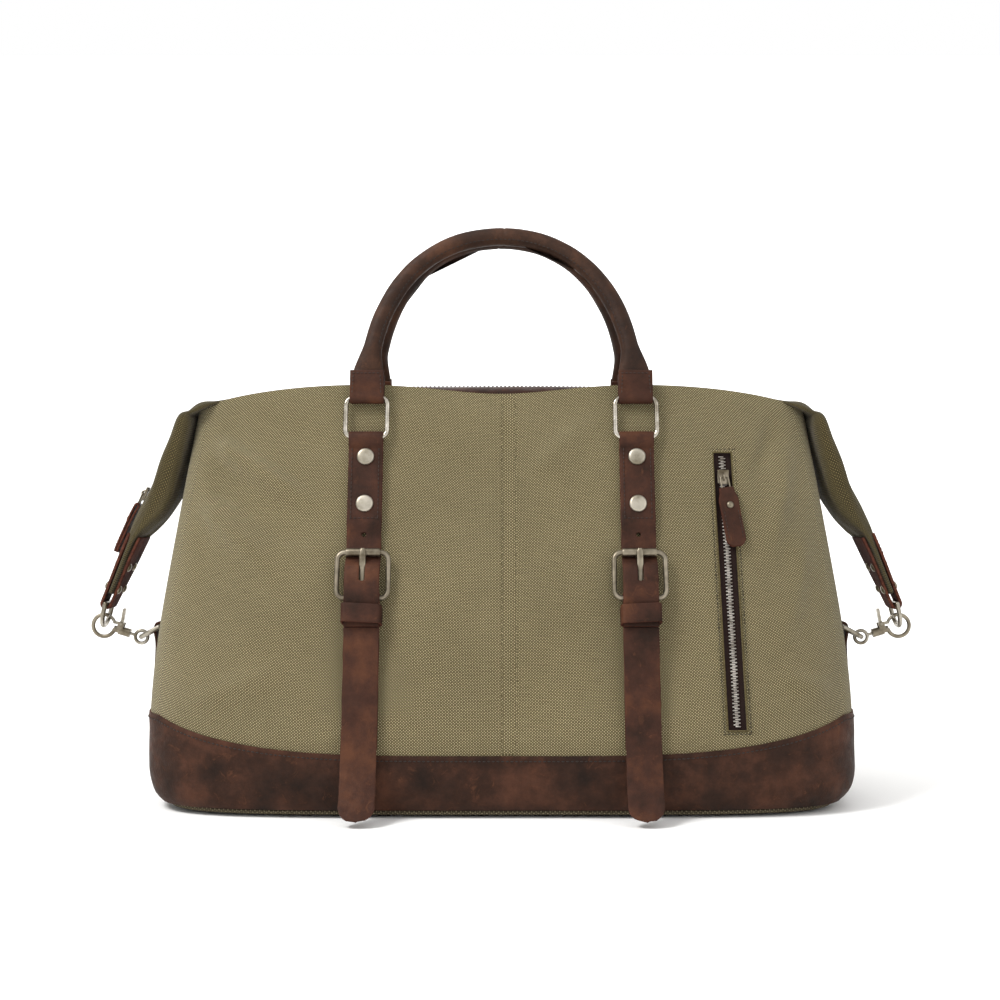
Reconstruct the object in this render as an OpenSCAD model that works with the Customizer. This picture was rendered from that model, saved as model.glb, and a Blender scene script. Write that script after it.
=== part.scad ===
// A canvas and leather duffel bag, standing on the floor with its mouth closed.
// +Z is up, -Y is the front, and the origin lies on the floor under the middle.

/* [Body] */
// Width of the bag at its foot, end to end
body_w = 558; // [520:2:600]
// Width at the top corners
top_w = 490; // [460:2:510]
// Depth of the bag at its foot, front to rear
body_d = 230; // [210:2:250]
// Depth where the panels meet the mouth
top_d = 72; // [66:2:80]
// Height of the top edge of the panels beside the handles
body_h = 335; // [330:1:340]
// Height of the leather band in the middle of the front
band_h = 48; // [44:1:52]
// How much higher the band is at the corners
band_rise = 27; // [15:1:30]
// Thickness of the canvas
canvas_t = 1.6; // [1.2:0.1:2]

/* [Straps] */
// Width of the straps
strap_w = 27; // [25:0.5:28]
// Distance of each strap from the middle, at the handle rings
strap_x = 107; // [100:0.5:112]
// Thickness of the strap leather
strap_t = 2.6; // [2.2:0.1:2.8]

/* [Handles] */
// Height of the middle line of each handle
handle_top = 457; // [440:1:470]
// Radius of the rolled handle
handle_r = 7.3; // [6.5:0.1:8]
// Radius of the cord inside the handle
core_r = 4.6; // [4:0.1:5]

/* [Side clips] */
// Outward slope of the folded ears, in degrees
ear_angle = 24.1; // [23.8:0.1:24.4]
// Length of an ear from the top corner to its ring
ear_len = 166.5; // [166:0.5:167]

/* [Hidden] */
$fn = 40;
section_power = 5;
canvas_colour = "#7a7354";
leather_colour = "#4a2c22";
metal_colour = "#8b8880";
zip_colour = "#33261f";
cloth_colour = "#8a7c63";
slope_foot = 60;
slope_top = 340;
slope = atan((body_d - top_d) / 2 / (slope_top - slope_foot));
seam_u = 0.95;
seam_w = pow(1 - pow(seam_u, section_power), 1 / section_power);
ring_z = 305;
ring_half = 16.5;
ring_wire = 2;
ring_out = 5.4;
zip_x = 177;
zip_z = 172.5;
zip_len = 221;
zip_turn = 3.6;
handle_lean = 15.7;
mouth_half = 200;
ear_origin = [256, 0, 308];
d_ring_wire = 1.9;
d_ring_drop = 19;
gusset_bar = [280.3, 0, 137];
gusset_ring_fall = 28;
ear_ring_tilt = 12;
gusset_tab_lean = 3.9;
ring_corner = 2.8;
tape_depth = 3.1;
tape_tilt = 0.3;

// ---- Shape of the body -------------------------------------------------

function clamp01(v) = max(0, min(1, v));

function root(v) = pow(max(0, v), 1 / section_power);

function half_w(z) = (body_w - (body_w - top_w) * pow(clamp01((z - 75) / 245), 1.5)) / 2;

function half_d(z) = (body_d - (body_d - top_d) * clamp01((z - slope_foot) / (slope_top - slope_foot))) / 2;

// Height of the seam between canvas and band, u = -1 to 1 across the front
function seam_z(u) = band_h + band_rise * pow(min(1, abs(u) / seam_u), 4);

// Height of the top edge: it dips in the middle and drops to the corners
function edge_z(u) = body_h - 16 * pow(min(1, abs(u) / seam_u), 4) - 9 * exp(-pow(u / 0.28, 2));

// A point of the front wall, inset from its outside
function front_point(u, z, inset) =
  [u * (half_w(z) - inset), -(half_d(z) - inset) * root(1 - pow(abs(u), section_power)), z];

// A point of the right end wall, w = -1 to 1 from front to rear
function end_point(w, z, inset) =
  [(half_w(z) - inset) * root(1 - pow(abs(w), section_power)), w * (half_d(z) - inset), z];

// A closed loop round the body at one height
function body_loop(z, inset, count = 72) =
  [for (i = [0:count - 1])
    let (t = 360 * i / count, c = cos(t), s = sin(t))
      [sign(c) * pow(abs(c), 2 / section_power) * (half_w(z) - inset),
       sign(s) * pow(abs(s), 2 / section_power) * (half_d(z) - inset), z]];

// ---- Solids made of points ----------------------------------------------

// A thin closed sheet between two grids of points, rows going up, seen from outside
module sheet(outer, inner) {
  rows = len(outer);
  cols = len(outer[0]);
  total = rows * cols;
  function at(r, c) = r * cols + c;
  function below(r, c) = total + r * cols + c;
  points = concat([for (row = outer) for (p = row) p], [for (row = inner) for (p = row) p]);
  skin = [for (r = [0:rows - 2]) for (c = [0:cols - 2])
    each [[at(r, c), at(r + 1, c), at(r + 1, c + 1)], [at(r, c), at(r + 1, c + 1), at(r, c + 1)],
      [below(r, c), below(r + 1, c + 1), below(r + 1, c)],
      [below(r, c), below(r, c + 1), below(r + 1, c + 1)]]];
  foot_and_top = [for (c = [0:cols - 2])
    each [[at(0, c), at(0, c + 1), below(0, c + 1)], [at(0, c), below(0, c + 1), below(0, c)],
      [at(rows - 1, c + 1), at(rows - 1, c), below(rows - 1, c)],
      [at(rows - 1, c + 1), below(rows - 1, c), below(rows - 1, c + 1)]]];
  sides = [for (r = [0:rows - 2])
    each [[at(r + 1, 0), at(r, 0), below(r, 0)], [at(r + 1, 0), below(r, 0), below(r + 1, 0)],
      [at(r, cols - 1), at(r + 1, cols - 1), below(r + 1, cols - 1)],
      [at(r, cols - 1), below(r + 1, cols - 1), below(r, cols - 1)]]];
  polyhedron(points, concat(skin, foot_and_top, sides));
}

// A solid skinned over loops of points; ring = true joins the last loop to the first
module loft(loops, ring = false) {
  count = len(loops[0]);
  last = len(loops) - 1;
  points = [for (loop = loops) for (p = loop) p];
  function at(k, j) = (k % len(loops)) * count + j % count;
  skin = [for (k = [0:ring ? last : last - 1]) for (j = [0:count - 1])
    each [[at(k, j), at(k + 1, j), at(k + 1, j + 1)], [at(k, j), at(k + 1, j + 1), at(k, j + 1)]]];
  caps = ring ? [] : [[for (j = [0:count - 1]) at(0, j)], [for (j = [0:count - 1]) at(last, count - 1 - j)]];
  polyhedron(points, concat(skin, caps));
}

// Left and right sides of a line of 2D points, as one outline of thickness t
function ribbon(line, t) =
  let (last = len(line) - 1,
    normals = [for (i = [0:last])
      let (d = line[min(last, i + 1)] - line[max(0, i - 1)]) [-d[1], d[0]] / norm(d)])
    concat([for (i = [0:last]) line[i] + normals[i] * t / 2],
      [for (i = [0:last]) line[last - i] - normals[last - i] * t / 2]);

// A strip whose side view is an outline of [distance out from the wall, height]
module strip(outline, width) {
  rotate([90, 0, -90])
    linear_extrude(width, center = true)
      polygon(outline);
}

// A round bar along X
module bar(r, length) {
  rotate([0, 90, 0])
    cylinder(r = r, h = length, center = true);
}

// A round bar along Y
module cross_bar(r, length) {
  rotate([90, 0, 0])
    cylinder(r = r, h = length, center = true);
}

// A rounded rectangle of round wire in the XZ plane
module wire_frame(half_x, half_z, corner, wire) {
  for (side = [-1, 1]) {
    translate([side * half_x, 0, 0])
      cylinder(r = wire, h = 2 * (half_z - corner), center = true);
    translate([0, 0, side * half_z])
      bar(wire, 2 * (half_x - corner));
  }
  for (turn = [0:3])
    rotate([0, turn * 90, 0])
      translate([(turn % 2 == 0 ? half_x : half_z) - corner, 0, (turn % 2 == 0 ? half_z : half_x) - corner])
        rotate([90, 0, 0])
          rotate_extrude(angle = 90)
            translate([corner, 0])
              circle(wire, $fn = 24);
}

// ---- Panels ---------------------------------------------------------------

front_columns = [for (i = [-16:16]) seam_u * sign(i) * pow(abs(i) / 16, 0.8)];
end_columns = [for (i = [-8:8]) seam_w * i / 8];
panel_rows = [for (i = [0:10]) i / 10];

function front_grid(inset) =
  [for (v = panel_rows) [for (u = front_columns)
    front_point(u, (seam_z(u) + 0.4) * (1 - v) + edge_z(u) * v, inset)]];

function end_grid(inset) =
  [for (v = panel_rows) [for (w = end_columns)
    end_point(w, (seam_z(1) + 0.4) * (1 - v) + edge_z(1) * v, inset)]];

module front_canvas() {
  color(canvas_colour)
    difference() {
      sheet(front_grid(0), front_grid(canvas_t));
      on_zip()
        cube([15, 12, zip_len], center = true);
    }
}

module rear_canvas() {
  color(canvas_colour)
    rotate(180)
      sheet(front_grid(0), front_grid(canvas_t));
}

module gusset() {
  color(canvas_colour)
    sheet(end_grid(0), end_grid(canvas_t));
}

// Loop round the top edge of the band, which follows the seam
function band_edge(inset) =
  [for (p = body_loop(slope_foot, 0, 96))
    let (z = seam_z(min(seam_u, abs(p[0]) / half_w(slope_foot))))
      [p[0] * (half_w(z) - inset) / half_w(slope_foot), p[1] * (half_d(z) - inset) / half_d(slope_foot), z]];

module base_band() {
  color(leather_colour)
    loft([body_loop(6, 7, 96), body_loop(8, 3, 96), body_loop(13, 0, 96), body_loop(32, -0.8, 96),
      band_edge(-0.8), band_edge(1.6), body_loop(32, 1.6, 96), body_loop(14, 2.6, 96),
      body_loop(10, 5, 96), body_loop(8.4, 8, 96)], ring = true);
}

module bottom_panel() {
  color("#1f1b18")
    linear_extrude(2.6)
      polygon([for (p = body_loop(0, 9)) [p[0], p[1]]]);
}

module base_piping() {
  piping_r = 1.5;
  color(canvas_colour)
    loft([for (k = [0:7])
      body_loop(4.2 + piping_r * sin(45 * k), 4.6 - piping_r * cos(45 * k), 96)], ring = true);
}

module bottom_board() {
  color("#6b5a45")
    translate([0, 0, 3.2])
      linear_extrude(2.4)
        polygon([for (p = body_loop(0, 12)) [p[0], p[1]]]);
}

module lining() {
  heights = [12, 30, 60, 100, 150, 200, 250, 290, 316];
  wall = 1;
  gap = 6;
  color(cloth_colour)
    loft(concat([body_loop(8.8, 14)], [for (z = heights) body_loop(z, z < 20 ? 9 : gap)],
      [for (i = [len(heights) - 1:-1:0]) body_loop(heights[i], (heights[i] < 20 ? 9 : gap) + wall)],
      [body_loop(9.8, 15)]));
}

// ---- Things mounted on the sloping front -----------------------------------

// Puts its children on the front wall at (x, z): local Z runs up the slope
module on_front(x, z) {
  translate([x, -half_d(z), z])
    rotate([-slope, 0, 0])
      children();
}

// The frame of a front strap: its origin is the middle of the handle ring
module on_strap(side) {
  on_front(side * strap_x, ring_z)
    children();
}

// The frame of the pocket zip: its origin is the middle of the zip
module on_zip() {
  u = zip_x / half_w(zip_z);
  translate([zip_x, front_point(u, zip_z, 0)[1], zip_z])
    rotate([-slope, 0, zip_turn])
      children();
}

module pocket_bag() {
  rows = [for (z = [70:18:268]) z];
  columns = [for (u = [0.42:0.045:0.79]) u];
  color(cloth_colour)
    sheet([for (z = rows) [for (u = columns) front_point(u, z, 4)]],
      [for (z = rows) [for (u = columns) front_point(u, z, 5.4)]]);
}

module pocket_zip_tape() {
  color(zip_colour)
    on_zip()
      translate([0, tape_depth, 0])
        rotate([tape_tilt, 0, 0])
          cube([24, 0.8, zip_len + 6], center = true);
}

module pocket_zip_teeth() {
  color(metal_colour)
    on_zip()
      translate([0, 1.3, 0])
        cube([5.6, 1.5, zip_len - 6], center = true);
}

// Where the pocket slider rests, along the zip
slider_rest = 89.6;

// A slider seen from outside, its bridge pointing along -Y, over teeth at y = 0.5 to 2
module zip_slider() {
  translate([0, -0.7, 0])
    hull() {
      translate([0, 0, 3.5])
        cube([9, 1.8, 5], center = true);
      translate([0, 0, -4.5])
        cube([7, 1.8, 3], center = true);
    }
  for (side = [-1, 1])
    translate([side * 3.9, 0.6, 0])
      cube([1.2, 1.6, 9], center = true);
  difference() {
    translate([0, -2.8, 0])
      cube([1.8, 3, 7], center = true);
    translate([0, -2.6, 0])
      cube([2.4, 1.8, 4.6], center = true);
  }
}

// A leather tab folded round the foot of a wire link that hangs from the origin
module leather_tab(tab_w, tab_len) {
  drop = 11.2;
  difference() {
    translate([0, 0, -drop])
      union() {
        bar(2.2, tab_w);
        translate([0, 0, -tab_len / 2 + tab_w / 4])
          cube([tab_w, 4.4, tab_len - tab_w / 2], center = true);
        translate([0, 0, tab_w / 2 - tab_len])
          cross_bar(tab_w / 2, 4.4);
      }
    translate([0, 0, -drop])
      bar(0.85, tab_w + 1);
    translate([0, 0, -drop])
      cube([8.6, 6, 4], center = true);
  }
}

module pull(tab_w = 15, tab_len = 50) {
  color(metal_colour)
    translate([0, 0, -5.4])
      wire_frame(3.2, 5.4, 2, 0.65);
  color(leather_colour)
    leather_tab(tab_w, tab_len);
  color(metal_colour)
    translate([0, -2.6, -24])
      cross_bar(2.8, 1);
}

module pocket_slider() {
  color(metal_colour)
    on_zip()
      translate([0, 0, slider_rest])
        zip_slider();
}

module pocket_pull() {
  on_zip()
    translate([0, -2.85, slider_rest])
      pull();
}

// ---- Front straps, in the frame of the handle ring ---------------------------

ring_exit = [[8.95, -ring_half], [8.3, -19.5], [5.9, -22.7], [4.4, -24.6]];
strap_front = concat(ring_exit, [[4.4, -82], [3.6, -90], [1.8, -98],
  [1.8, -109], [2.6, -113], [7.4, -118.5], [11.8, -123], [13.7, -129], [13.9, -137],
  [13.9, -146.8], [12.8, -152], [11.2, -158], [9.8, -165], [9, -171.4]]);
strap_back = [[1.85, -ring_half], [1.7, -86]];
tail_line = [[8.8, -173], [8.0, -190], [6.4, -215], [6.2, -262], [10.4, -292], [19.5, -318.6]];
chape_back = [[4.2, -146.8], [3.4, -156], [2.9, -170], [1.5, -182], [1.5, -262]];
chape_front = [[10.6, -146.8], [8.4, -152], [6, -158], [5, -164], [4.9, -176]];
chape_t = 1.8;
buckle_h = -128.8;
buckle_out = 7.4;
buckle_half = 18;
rivet_heights = [-30.4 - 2, -70.8];

// Leather folded over a bar at the origin, its upper half only
module fold(inner, t, width, side = 1) {
  difference() {
    bar(inner + t, width);
    bar(inner, width + 1);
    translate([0, 0, -side * 10])
      cube([width + 2, 30, 20], center = true);
  }
}

module rivet_holes() {
  for (h = rivet_heights)
    translate([0, -3, h])
      cross_bar(2.1, 20);
}

module upper_straps() {
  color(leather_colour)
    for (side = [-1, 1])
      on_strap(side)
        upper_strap();
}

module upper_strap() {
  difference() {
    union() {
      translate([0, -ring_out, -ring_half])
        fold(ring_wire + 0.25, strap_t, strap_w);
      strip(ribbon(strap_front, strap_t), strap_w);
      strip(ribbon(strap_back, strap_t), strap_w);
    }
    rivet_holes();
    translate([0, -10, -127.25])
      cube([4.6, 14, 27.5], center = true);
    translate([0, -2, -95.5])
      cross_bar(1.8, 12);
  }
}

module rear_straps() {
  outer_end = concat(ring_exit, [[4.4, -86]]);
  color(leather_colour)
    rotate(180)
      for (side = [-1, 1])
        on_strap(side)
          difference() {
            union() {
              translate([0, -ring_out, -ring_half])
                fold(ring_wire + 0.25, strap_t, strap_w);
              strip(ribbon(outer_end, strap_t), strap_w);
              strip(ribbon(strap_back, strap_t), strap_w);
            }
            rivet_holes();
          }
}

module strap_rivets() {
  color("#b5b1a6")
    for (turn = [0, 180])
      rotate(turn)
        for (side = [-1, 1])
          on_strap(side)
            for (h = rivet_heights) {
              translate([0, -6.55, h])
                cross_bar(6.9, 1.5);
              translate([0, -3.2, h])
                cross_bar(1.9, 5.6);
            }
}

module strap_tail(side) {
  color(leather_colour)
    on_strap(side)
      intersection() {
        union() {
          translate([0, -tail_line[0][0], tail_line[0][1]])
            bar(strap_t / 2, strap_w);
          strip(ribbon(tail_line, strap_t), strap_w);
        }
        hull() {
          translate([0, -5, -160])
            cube([strap_w, 40, 10], center = true);
          translate([0, -5, -318 + strap_w / 2])
            cross_bar(strap_w / 2, 40);
        }
      }
}

module lower_strap(side) {
  color(leather_colour)
    on_strap(side)
      difference() {
        union() {
          translate([0, -buckle_out, buckle_h - buckle_half])
            fold(ring_wire + 0.3, chape_t, strap_w);
          strip(ribbon(chape_back, chape_t), strap_w);
          strip(ribbon(chape_front, chape_t), strap_w);
        }
        translate([0, -8, buckle_h - buckle_half])
          cube([6.4, 12, 16], center = true);
      }
}

module buckle_frame(side) {
  color(metal_colour)
    on_strap(side)
      translate([0, -buckle_out, buckle_h])
        wire_frame(19.8, buckle_half, 6, ring_wire);
}

module roller(side) {
  color("#b5b1a6")
    on_strap(side)
      translate([0, -buckle_out, buckle_h + buckle_half])
        difference() {
          bar(3.3, 26.5);
          bar(ring_wire + 0.08, 28);
        }
}

module prong(side) {
  tip = [buckle_out + 4.75, buckle_half * 2 + 1.5];
  color(metal_colour)
    on_strap(side)
      translate([0, 0, buckle_h - buckle_half]) {
        translate([0, -buckle_out, 0])
          difference() {
            bar(ring_wire + 1.5, 3.2);
            bar(ring_wire + 0.08, 4);
          }
        strip([[9.9, 0.8], [10.2, 3.4], [10.9, 17], [11.3, 30], [11.3, tip[1]], [12.9, tip[1] - 0.8],
          [13.2, 30], [12.6, 17], [11.6, 3], [10.7, 0.8]], 3);
      }
}

module keeper(side) {
  color(leather_colour)
    on_strap(side)
      translate([0, 0, -160])
        difference() {
          translate([0, -8.5, 0])
            cube([31.4, 16.6, 15], center = true);
          translate([0, -8.5, 0])
            cube([28.2, 13.8, 16], center = true);
        }
}

// ---- Rings and handles ---------------------------------------------------------

module ring_pair() {
  color(metal_colour)
    for (side = [-1, 1])
      on_strap(side)
        translate([0, -ring_out, 0])
          wire_frame(ring_half, ring_half, ring_corner, ring_wire);
}

module front_rings() {
  ring_pair();
}

module rear_rings() {
  rotate(180)
    ring_pair();
}

// The middle line of a handle in its own plane: a curve from the apex to the right foot
handle_rise = (handle_top - 322.3) / cos(handle_lean);
tab_top = 12;
handle_ctrl = [[0, handle_rise], [60, handle_rise], [104, handle_rise * 0.66], [strap_x, tab_top]];

function bezier(p, t) =
  p[0] * pow(1 - t, 3) + 3 * p[1] * t * pow(1 - t, 2) + 3 * p[2] * t * t * (1 - t) + p[3] * pow(t, 3);

function bezier_dir(p, t) =
  let (d = (p[1] - p[0]) * pow(1 - t, 2) + 2 * (p[2] - p[1]) * t * (1 - t) + (p[3] - p[2]) * t * t)
    d / norm(d);

// One cross-section of the handle; s = -1 at the left foot, 1 at the right foot
function handle_loop(s, in_plane, through, sides = 12) =
  let (side = s < 0 ? -1 : 1, c = bezier(handle_ctrl, abs(s)), d = bezier_dir(handle_ctrl, abs(s)))
    [for (i = [0:sides - 1])
      let (a = 360 * i / sides, k = in_plane * cos(a))
        [side * (c[0] + k * d[1]), through * sin(a), c[1] - k * d[0]]];

// How flat the handle is at s: 0 on the round part, 1 at the foot
function flatness(s) = let (v = clamp01((abs(s) - 0.86) / 0.13)) v * v * (3 - 2 * v);

handle_steps = [for (i = [-22:22]) i / 22];

function blend(a, b, t) = a * (1 - t) + b * t;

// Loops along the handle, from a round radius to a flat end
function handle_loops(round_r, flat_x, flat_y, limit) =
  [for (s = handle_steps)
    let (f = flatness(s * limit))
      handle_loop(s * limit, blend(round_r, flat_x, f), blend(round_r, flat_y, f))];

function reverse(list) = [for (i = [len(list) - 1:-1:0]) list[i]];

module on_handle() {
  pivot_y = -half_d(ring_z) + ring_half * sin(slope) - ring_out * cos(slope);
  pivot_z = ring_z + ring_half * cos(slope) + ring_out * sin(slope);
  translate([0, pivot_y, pivot_z])
    rotate([-handle_lean, 0, 0])
      children();
}

module handle() {
  color(leather_colour)
    on_handle()
      loft(concat(handle_loops(handle_r, 13.6, 4.8, 1),
        reverse(handle_loops(core_r, 2.4, 2.4, 1))), ring = true);
}

module handle_tabs() {
  color(leather_colour)
    on_handle()
      for (side = [-1, 1])
        translate([side * strap_x, 0, 0])
          difference() {
            union() {
              bar(4.8, strap_w);
              translate([0, 0, (tab_top - 0.9) / 2])
                cube([strap_w, 9.6, tab_top - 0.9], center = true);
            }
            bar(ring_wire + 0.1, strap_w + 2);
          }
}

module handle_core() {
  color("#8f7f66")
    on_handle()
      loft(handle_loops(core_r - 0.3, core_r - 0.3, core_r - 0.3, 0.8));
}

module front_handle() {
  handle();
}

module rear_handle() {
  rotate(180)
    handle();
}

module handle_tabs_front() {
  handle_tabs();
}

module handle_tabs_rear() {
  rotate(180)
    handle_tabs();
}

module handle_core_front() {
  handle_core();
}

module handle_core_rear() {
  rotate(180)
    handle_core();
}

// ---- Mouth -----------------------------------------------------------------------

module mouth_facing_front() {
  color(leather_colour)
    rotate([90, 0, 90])
      linear_extrude(2 * mouth_half, center = true)
        polygon(ribbon([[-33.5, body_h - 8.5], [-22, body_h - 3.4], [-9.5, body_h - 1.8]], 1.8));
}

module mouth_facing_rear() {
  mirror([0, 1, 0])
    mouth_facing_front();
}

module main_zip_front() {
  color(zip_colour)
    translate([-mouth_half, -9.2, body_h - 2.2])
      cube([2 * mouth_half, 6.4, 0.9]);
  color(metal_colour)
    translate([-mouth_half, -3.4, body_h - 2.6])
      cube([2 * mouth_half, 3.25, 1.8]);
}

module main_zip_rear() {
  mirror([0, 1, 0])
    main_zip_front();
}

// ---- Ears, the folded-down ends of the mouth ----------------------------------------

// The frame of the right ear: its origin is at the top corner and -Z runs down the ear
module on_ear(side) {
  mirror([side < 0 ? 1 : 0, 0, 0])
    translate(ear_origin)
      rotate([0, -ear_angle, 0])
        children();
}

// One cross-section of the ear: centre x and z, pitch below level, thickness, width
function ear_loop(x, z, pitch, thick, width) =
  [for (i = [0:23])
    let (a = 15 * i, k = sign(cos(a)) * pow(abs(cos(a)), 0.5) * thick / 2,
      w = sign(sin(a)) * pow(abs(sin(a)), 0.5) * width / 2)
        [x + k * sin(pitch), w, z + k * cos(pitch)]];

// A cross-section whose outer side stays on the ear's straight outer slope
function along_ear(length, thick, width) =
  let (inset = (thick - 9) / 2)
    ear_loop(ear_origin[0] + length * sin(ear_angle) - inset * cos(ear_angle),
      ear_origin[2] - length * cos(ear_angle) - inset * sin(ear_angle), 90 - ear_angle, thick, width);

// A cross-section of the thin end that the leather tab holds
function ear_end(length) =
  ear_loop(ear_origin[0] + length * sin(ear_angle), ear_origin[2] - length * cos(ear_angle),
    90 - ear_angle, 4.2, 36);

module ear_canvas() {
  color(canvas_colour)
    loft([ear_loop(203, 330.4, 0, 2.2, 68), ear_loop(214, 329.4, 5, 3, 72), ear_loop(226, 327.4, 10, 3.4, 74),
      ear_loop(238, 325, 20, 4, 74), ear_loop(248.5, 321, 44, 6, 74), along_ear(0, 9, 72),
      along_ear(20, 14, 67), along_ear(40, 19, 61), along_ear(60, 21, 56), along_ear(80, 17, 49),
      along_ear(96, 10, 42), ear_end(108), ear_end(126)]);
}

module ear_zips() {
  for (side = [-1, 1])
    on_ear(side) {
      color(zip_colour)
        translate([5.4, 0, -60])
          cube([0.8, 15, 84], center = true);
      color(metal_colour)
        translate([6.4, 0, -60])
          cube([1.2, 5.6, 84], center = true);
    }
}

module ear_tab(side) {
  color(leather_colour)
    on_ear(side)
      difference() {
        hull() {
          translate([0, 0, -108])
            cube([9.4, 38, 2], center = true);
          translate([0, 0, -156])
            cube([9.4, 28, 2], center = true);
          translate([0, 0, -ear_len])
            cross_bar(4.7, 21);
        }
        translate([0, 0, -117])
          cube([4.9, 37, 20], center = true);
        translate([0, 0, -ear_len])
          cross_bar(d_ring_wire + 0.25, 60);
        ear_rivet_shanks(2);
      }
}

module ear_rivet_shanks(r) {
  for (row = [-132, -152])
    for (side = [-1, 1])
      translate([0, side * 9, row])
        bar(r, 14);
}

module ear_rivets() {
  color(metal_colour)
    for (side = [-1, 1])
      on_ear(side)
        for (row = [-132, -152])
          for (place = [-9, 9])
            translate([0, place, row]) {
              bar(1.9, 9.6);
              for (face = [-1, 1])
                translate([face * 5.6, 0, 0])
                  bar(3.6, 1.4);
            }
}

// A D-ring hanging from its bar at the origin
module d_ring() {
  half = 13;
  cross_bar(d_ring_wire, 2 * half);
  for (side = [-1, 1])
    translate([0, side * half, -(d_ring_drop - half) / 2])
      cylinder(r = d_ring_wire, h = d_ring_drop - half, center = true);
  for (side = [-1, 1])
    translate([0, side * half, 0])
      sphere(d_ring_wire);
  translate([0, 0, half - d_ring_drop])
    rotate([0, 90, 0])
      rotate([0, 0, -90])
        rotate_extrude(angle = 180)
          translate([half, 0])
            circle(d_ring_wire, $fn = 24);
}

ear_bar = ear_origin + ear_len * [sin(ear_angle), 0, -cos(ear_angle)];
hook_at = ear_bar + d_ring_drop * [sin(ear_ring_tilt), 0, -cos(ear_ring_tilt)];
swivel_at = gusset_bar + d_ring_drop * [cos(gusset_ring_fall), 0, -sin(gusset_ring_fall)];
snap_len = norm(hook_at - swivel_at);
snap_rise = atan2(hook_at[2] - swivel_at[2], hook_at[0] - swivel_at[0]);

module ear_ring(side) {
  color(metal_colour)
    mirror([side < 0 ? 1 : 0, 0, 0])
      translate(ear_bar)
        rotate([0, -ear_ring_tilt, 0])
          d_ring();
}

module main_zip_slider() {
  color(metal_colour)
    on_ear(-1)
      translate([8.1, 0, -72])
        rotate([0, 0, 90])
          zip_slider();
}

module main_zip_pull() {
  on_ear(-1)
    translate([10.95, 0, -72])
      rotate([0, 0, 90])
        pull(13, 46);
}

// ---- Side clips -------------------------------------------------------------------

module gusset_tab() {
  inner = d_ring_wire + 0.25;
  t = 2.4;
  wall = [gusset_bar[0] - inner - t, 0, 0];
  translate(gusset_bar)
    rotate([0, -gusset_tab_lean, 0])
      translate(-gusset_bar)
        gusset_tab_upright(inner, t, wall);
}

module gusset_tab_upright(inner, t, wall) {
  difference() {
    union() {
      translate(gusset_bar)
        cross_bar(inner + t, 20);
      translate([wall[0] + t / 2, 0, 112])
        cube([t, 20, 50], center = true);
      translate([wall[0] + t * 1.5 - 0.1, 0, 107])
        cube([t, 20, 40], center = true);
      translate([gusset_bar[0], 0, 131])
        cube([2 * inner + 2 * t, 20, 12], center = true);
    }
    translate(gusset_bar)
      cross_bar(inner, 40);
    translate([wall[0], 0, 108])
      bar(2, 40);
  }
  translate([wall[0] + 2 * t + 0.5, 0, 108])
    bar(4.8, 1.4);
  translate([wall[0] + t + 0.2, 0, 108])
    bar(2, 2 * t);
}

module gusset_tabs() {
  color(leather_colour)
    for (side = [0, 1])
      mirror([side, 0, 0])
        gusset_tab();
}

module gusset_ring(side) {
  color(metal_colour)
    mirror([side < 0 ? 1 : 0, 0, 0])
      translate(gusset_bar)
        rotate([0, -(90 - gusset_ring_fall), 0])
          d_ring();
}

// The frame of a snap: its origin is the middle of the hook, +X runs to the swivel
module on_snap(side) {
  mirror([side < 0 ? 1 : 0, 0, 0])
    translate(hook_at)
      rotate([0, -snap_rise, 0])
        mirror([1, 0, 0])
          children();
}

snap_eye_r = 9;
snap_wire = 1.6;
gate_pivot = [13.6, 0, 5.4];
gate_span = [18, 76];

// Part of the hook's ring between two angles above +X
module hook_arc(from, to, wire) {
  rotate([90, 0, 0])
    rotate([0, 0, from])
      rotate_extrude(angle = to - from)
        translate([snap_eye_r, 0])
          circle(wire, $fn = 24);
}

module snap_body(side) {
  color(metal_colour)
    on_snap(side)
      difference() {
        union() {
          hook_arc(gate_span[1] + 3, 360, snap_wire);
          translate([8.6, 0, 0])
            rotate([0, 90, 0])
              cylinder(r = 2.6, h = 6);
          translate([13, 0, 0])
            rotate([0, 90, 0])
              cylinder(r = 3.6, h = 9.5);
          for (face = [-1, 1])
            translate([gate_pivot[0], face * 2.9, 3.4])
              cube([5, 1.2, 7], center = true);
        }
        translate([15, 0, 0])
          rotate([0, 90, 0])
            cylinder(r = 1.3, h = 12);
        translate(gate_pivot)
          cross_bar(1.1, 12);
        translate([gate_pivot[0], 0, gate_pivot[2] + 0.6])
          cube([7, 4.2, 6.6], center = true);
      }
}

module snap_trigger(side) {
  color(metal_colour)
    on_snap(side) {
      translate(gate_pivot) {
        cross_bar(1, 7.4);
        cross_bar(2, 3.4);
      }
      hook_arc(gate_span[0] + 14, gate_span[1], 1.3);
      hull() {
        translate([gate_pivot[0] - 1, 0, gate_pivot[2]])
          cube([2, 2.4, 2], center = true);
        translate([snap_eye_r * cos(34), 0, snap_eye_r * sin(34)])
          cross_bar(1.2, 2.2);
      }
      hull() {
        translate(gate_pivot + [0, 0, 1])
          cross_bar(1.2, 3);
        translate([12.4, 0, 17.5])
          cross_bar(1.1, 4.4);
      }
    }
}

module swivel(side) {
  color(metal_colour)
    on_snap(side) {
      translate([16, 0, 0])
        rotate([0, 90, 0])
          cylinder(r = 1.2, h = snap_len - 16 - 5);
      translate([snap_len, 0, 0])
        rotate([90, 0, 0])
          rotate_extrude()
            translate([5.2, 0])
              circle(1.4, $fn = 24);
    }
}

// ---- Drawing --------------------------------------------------------------------------

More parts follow.
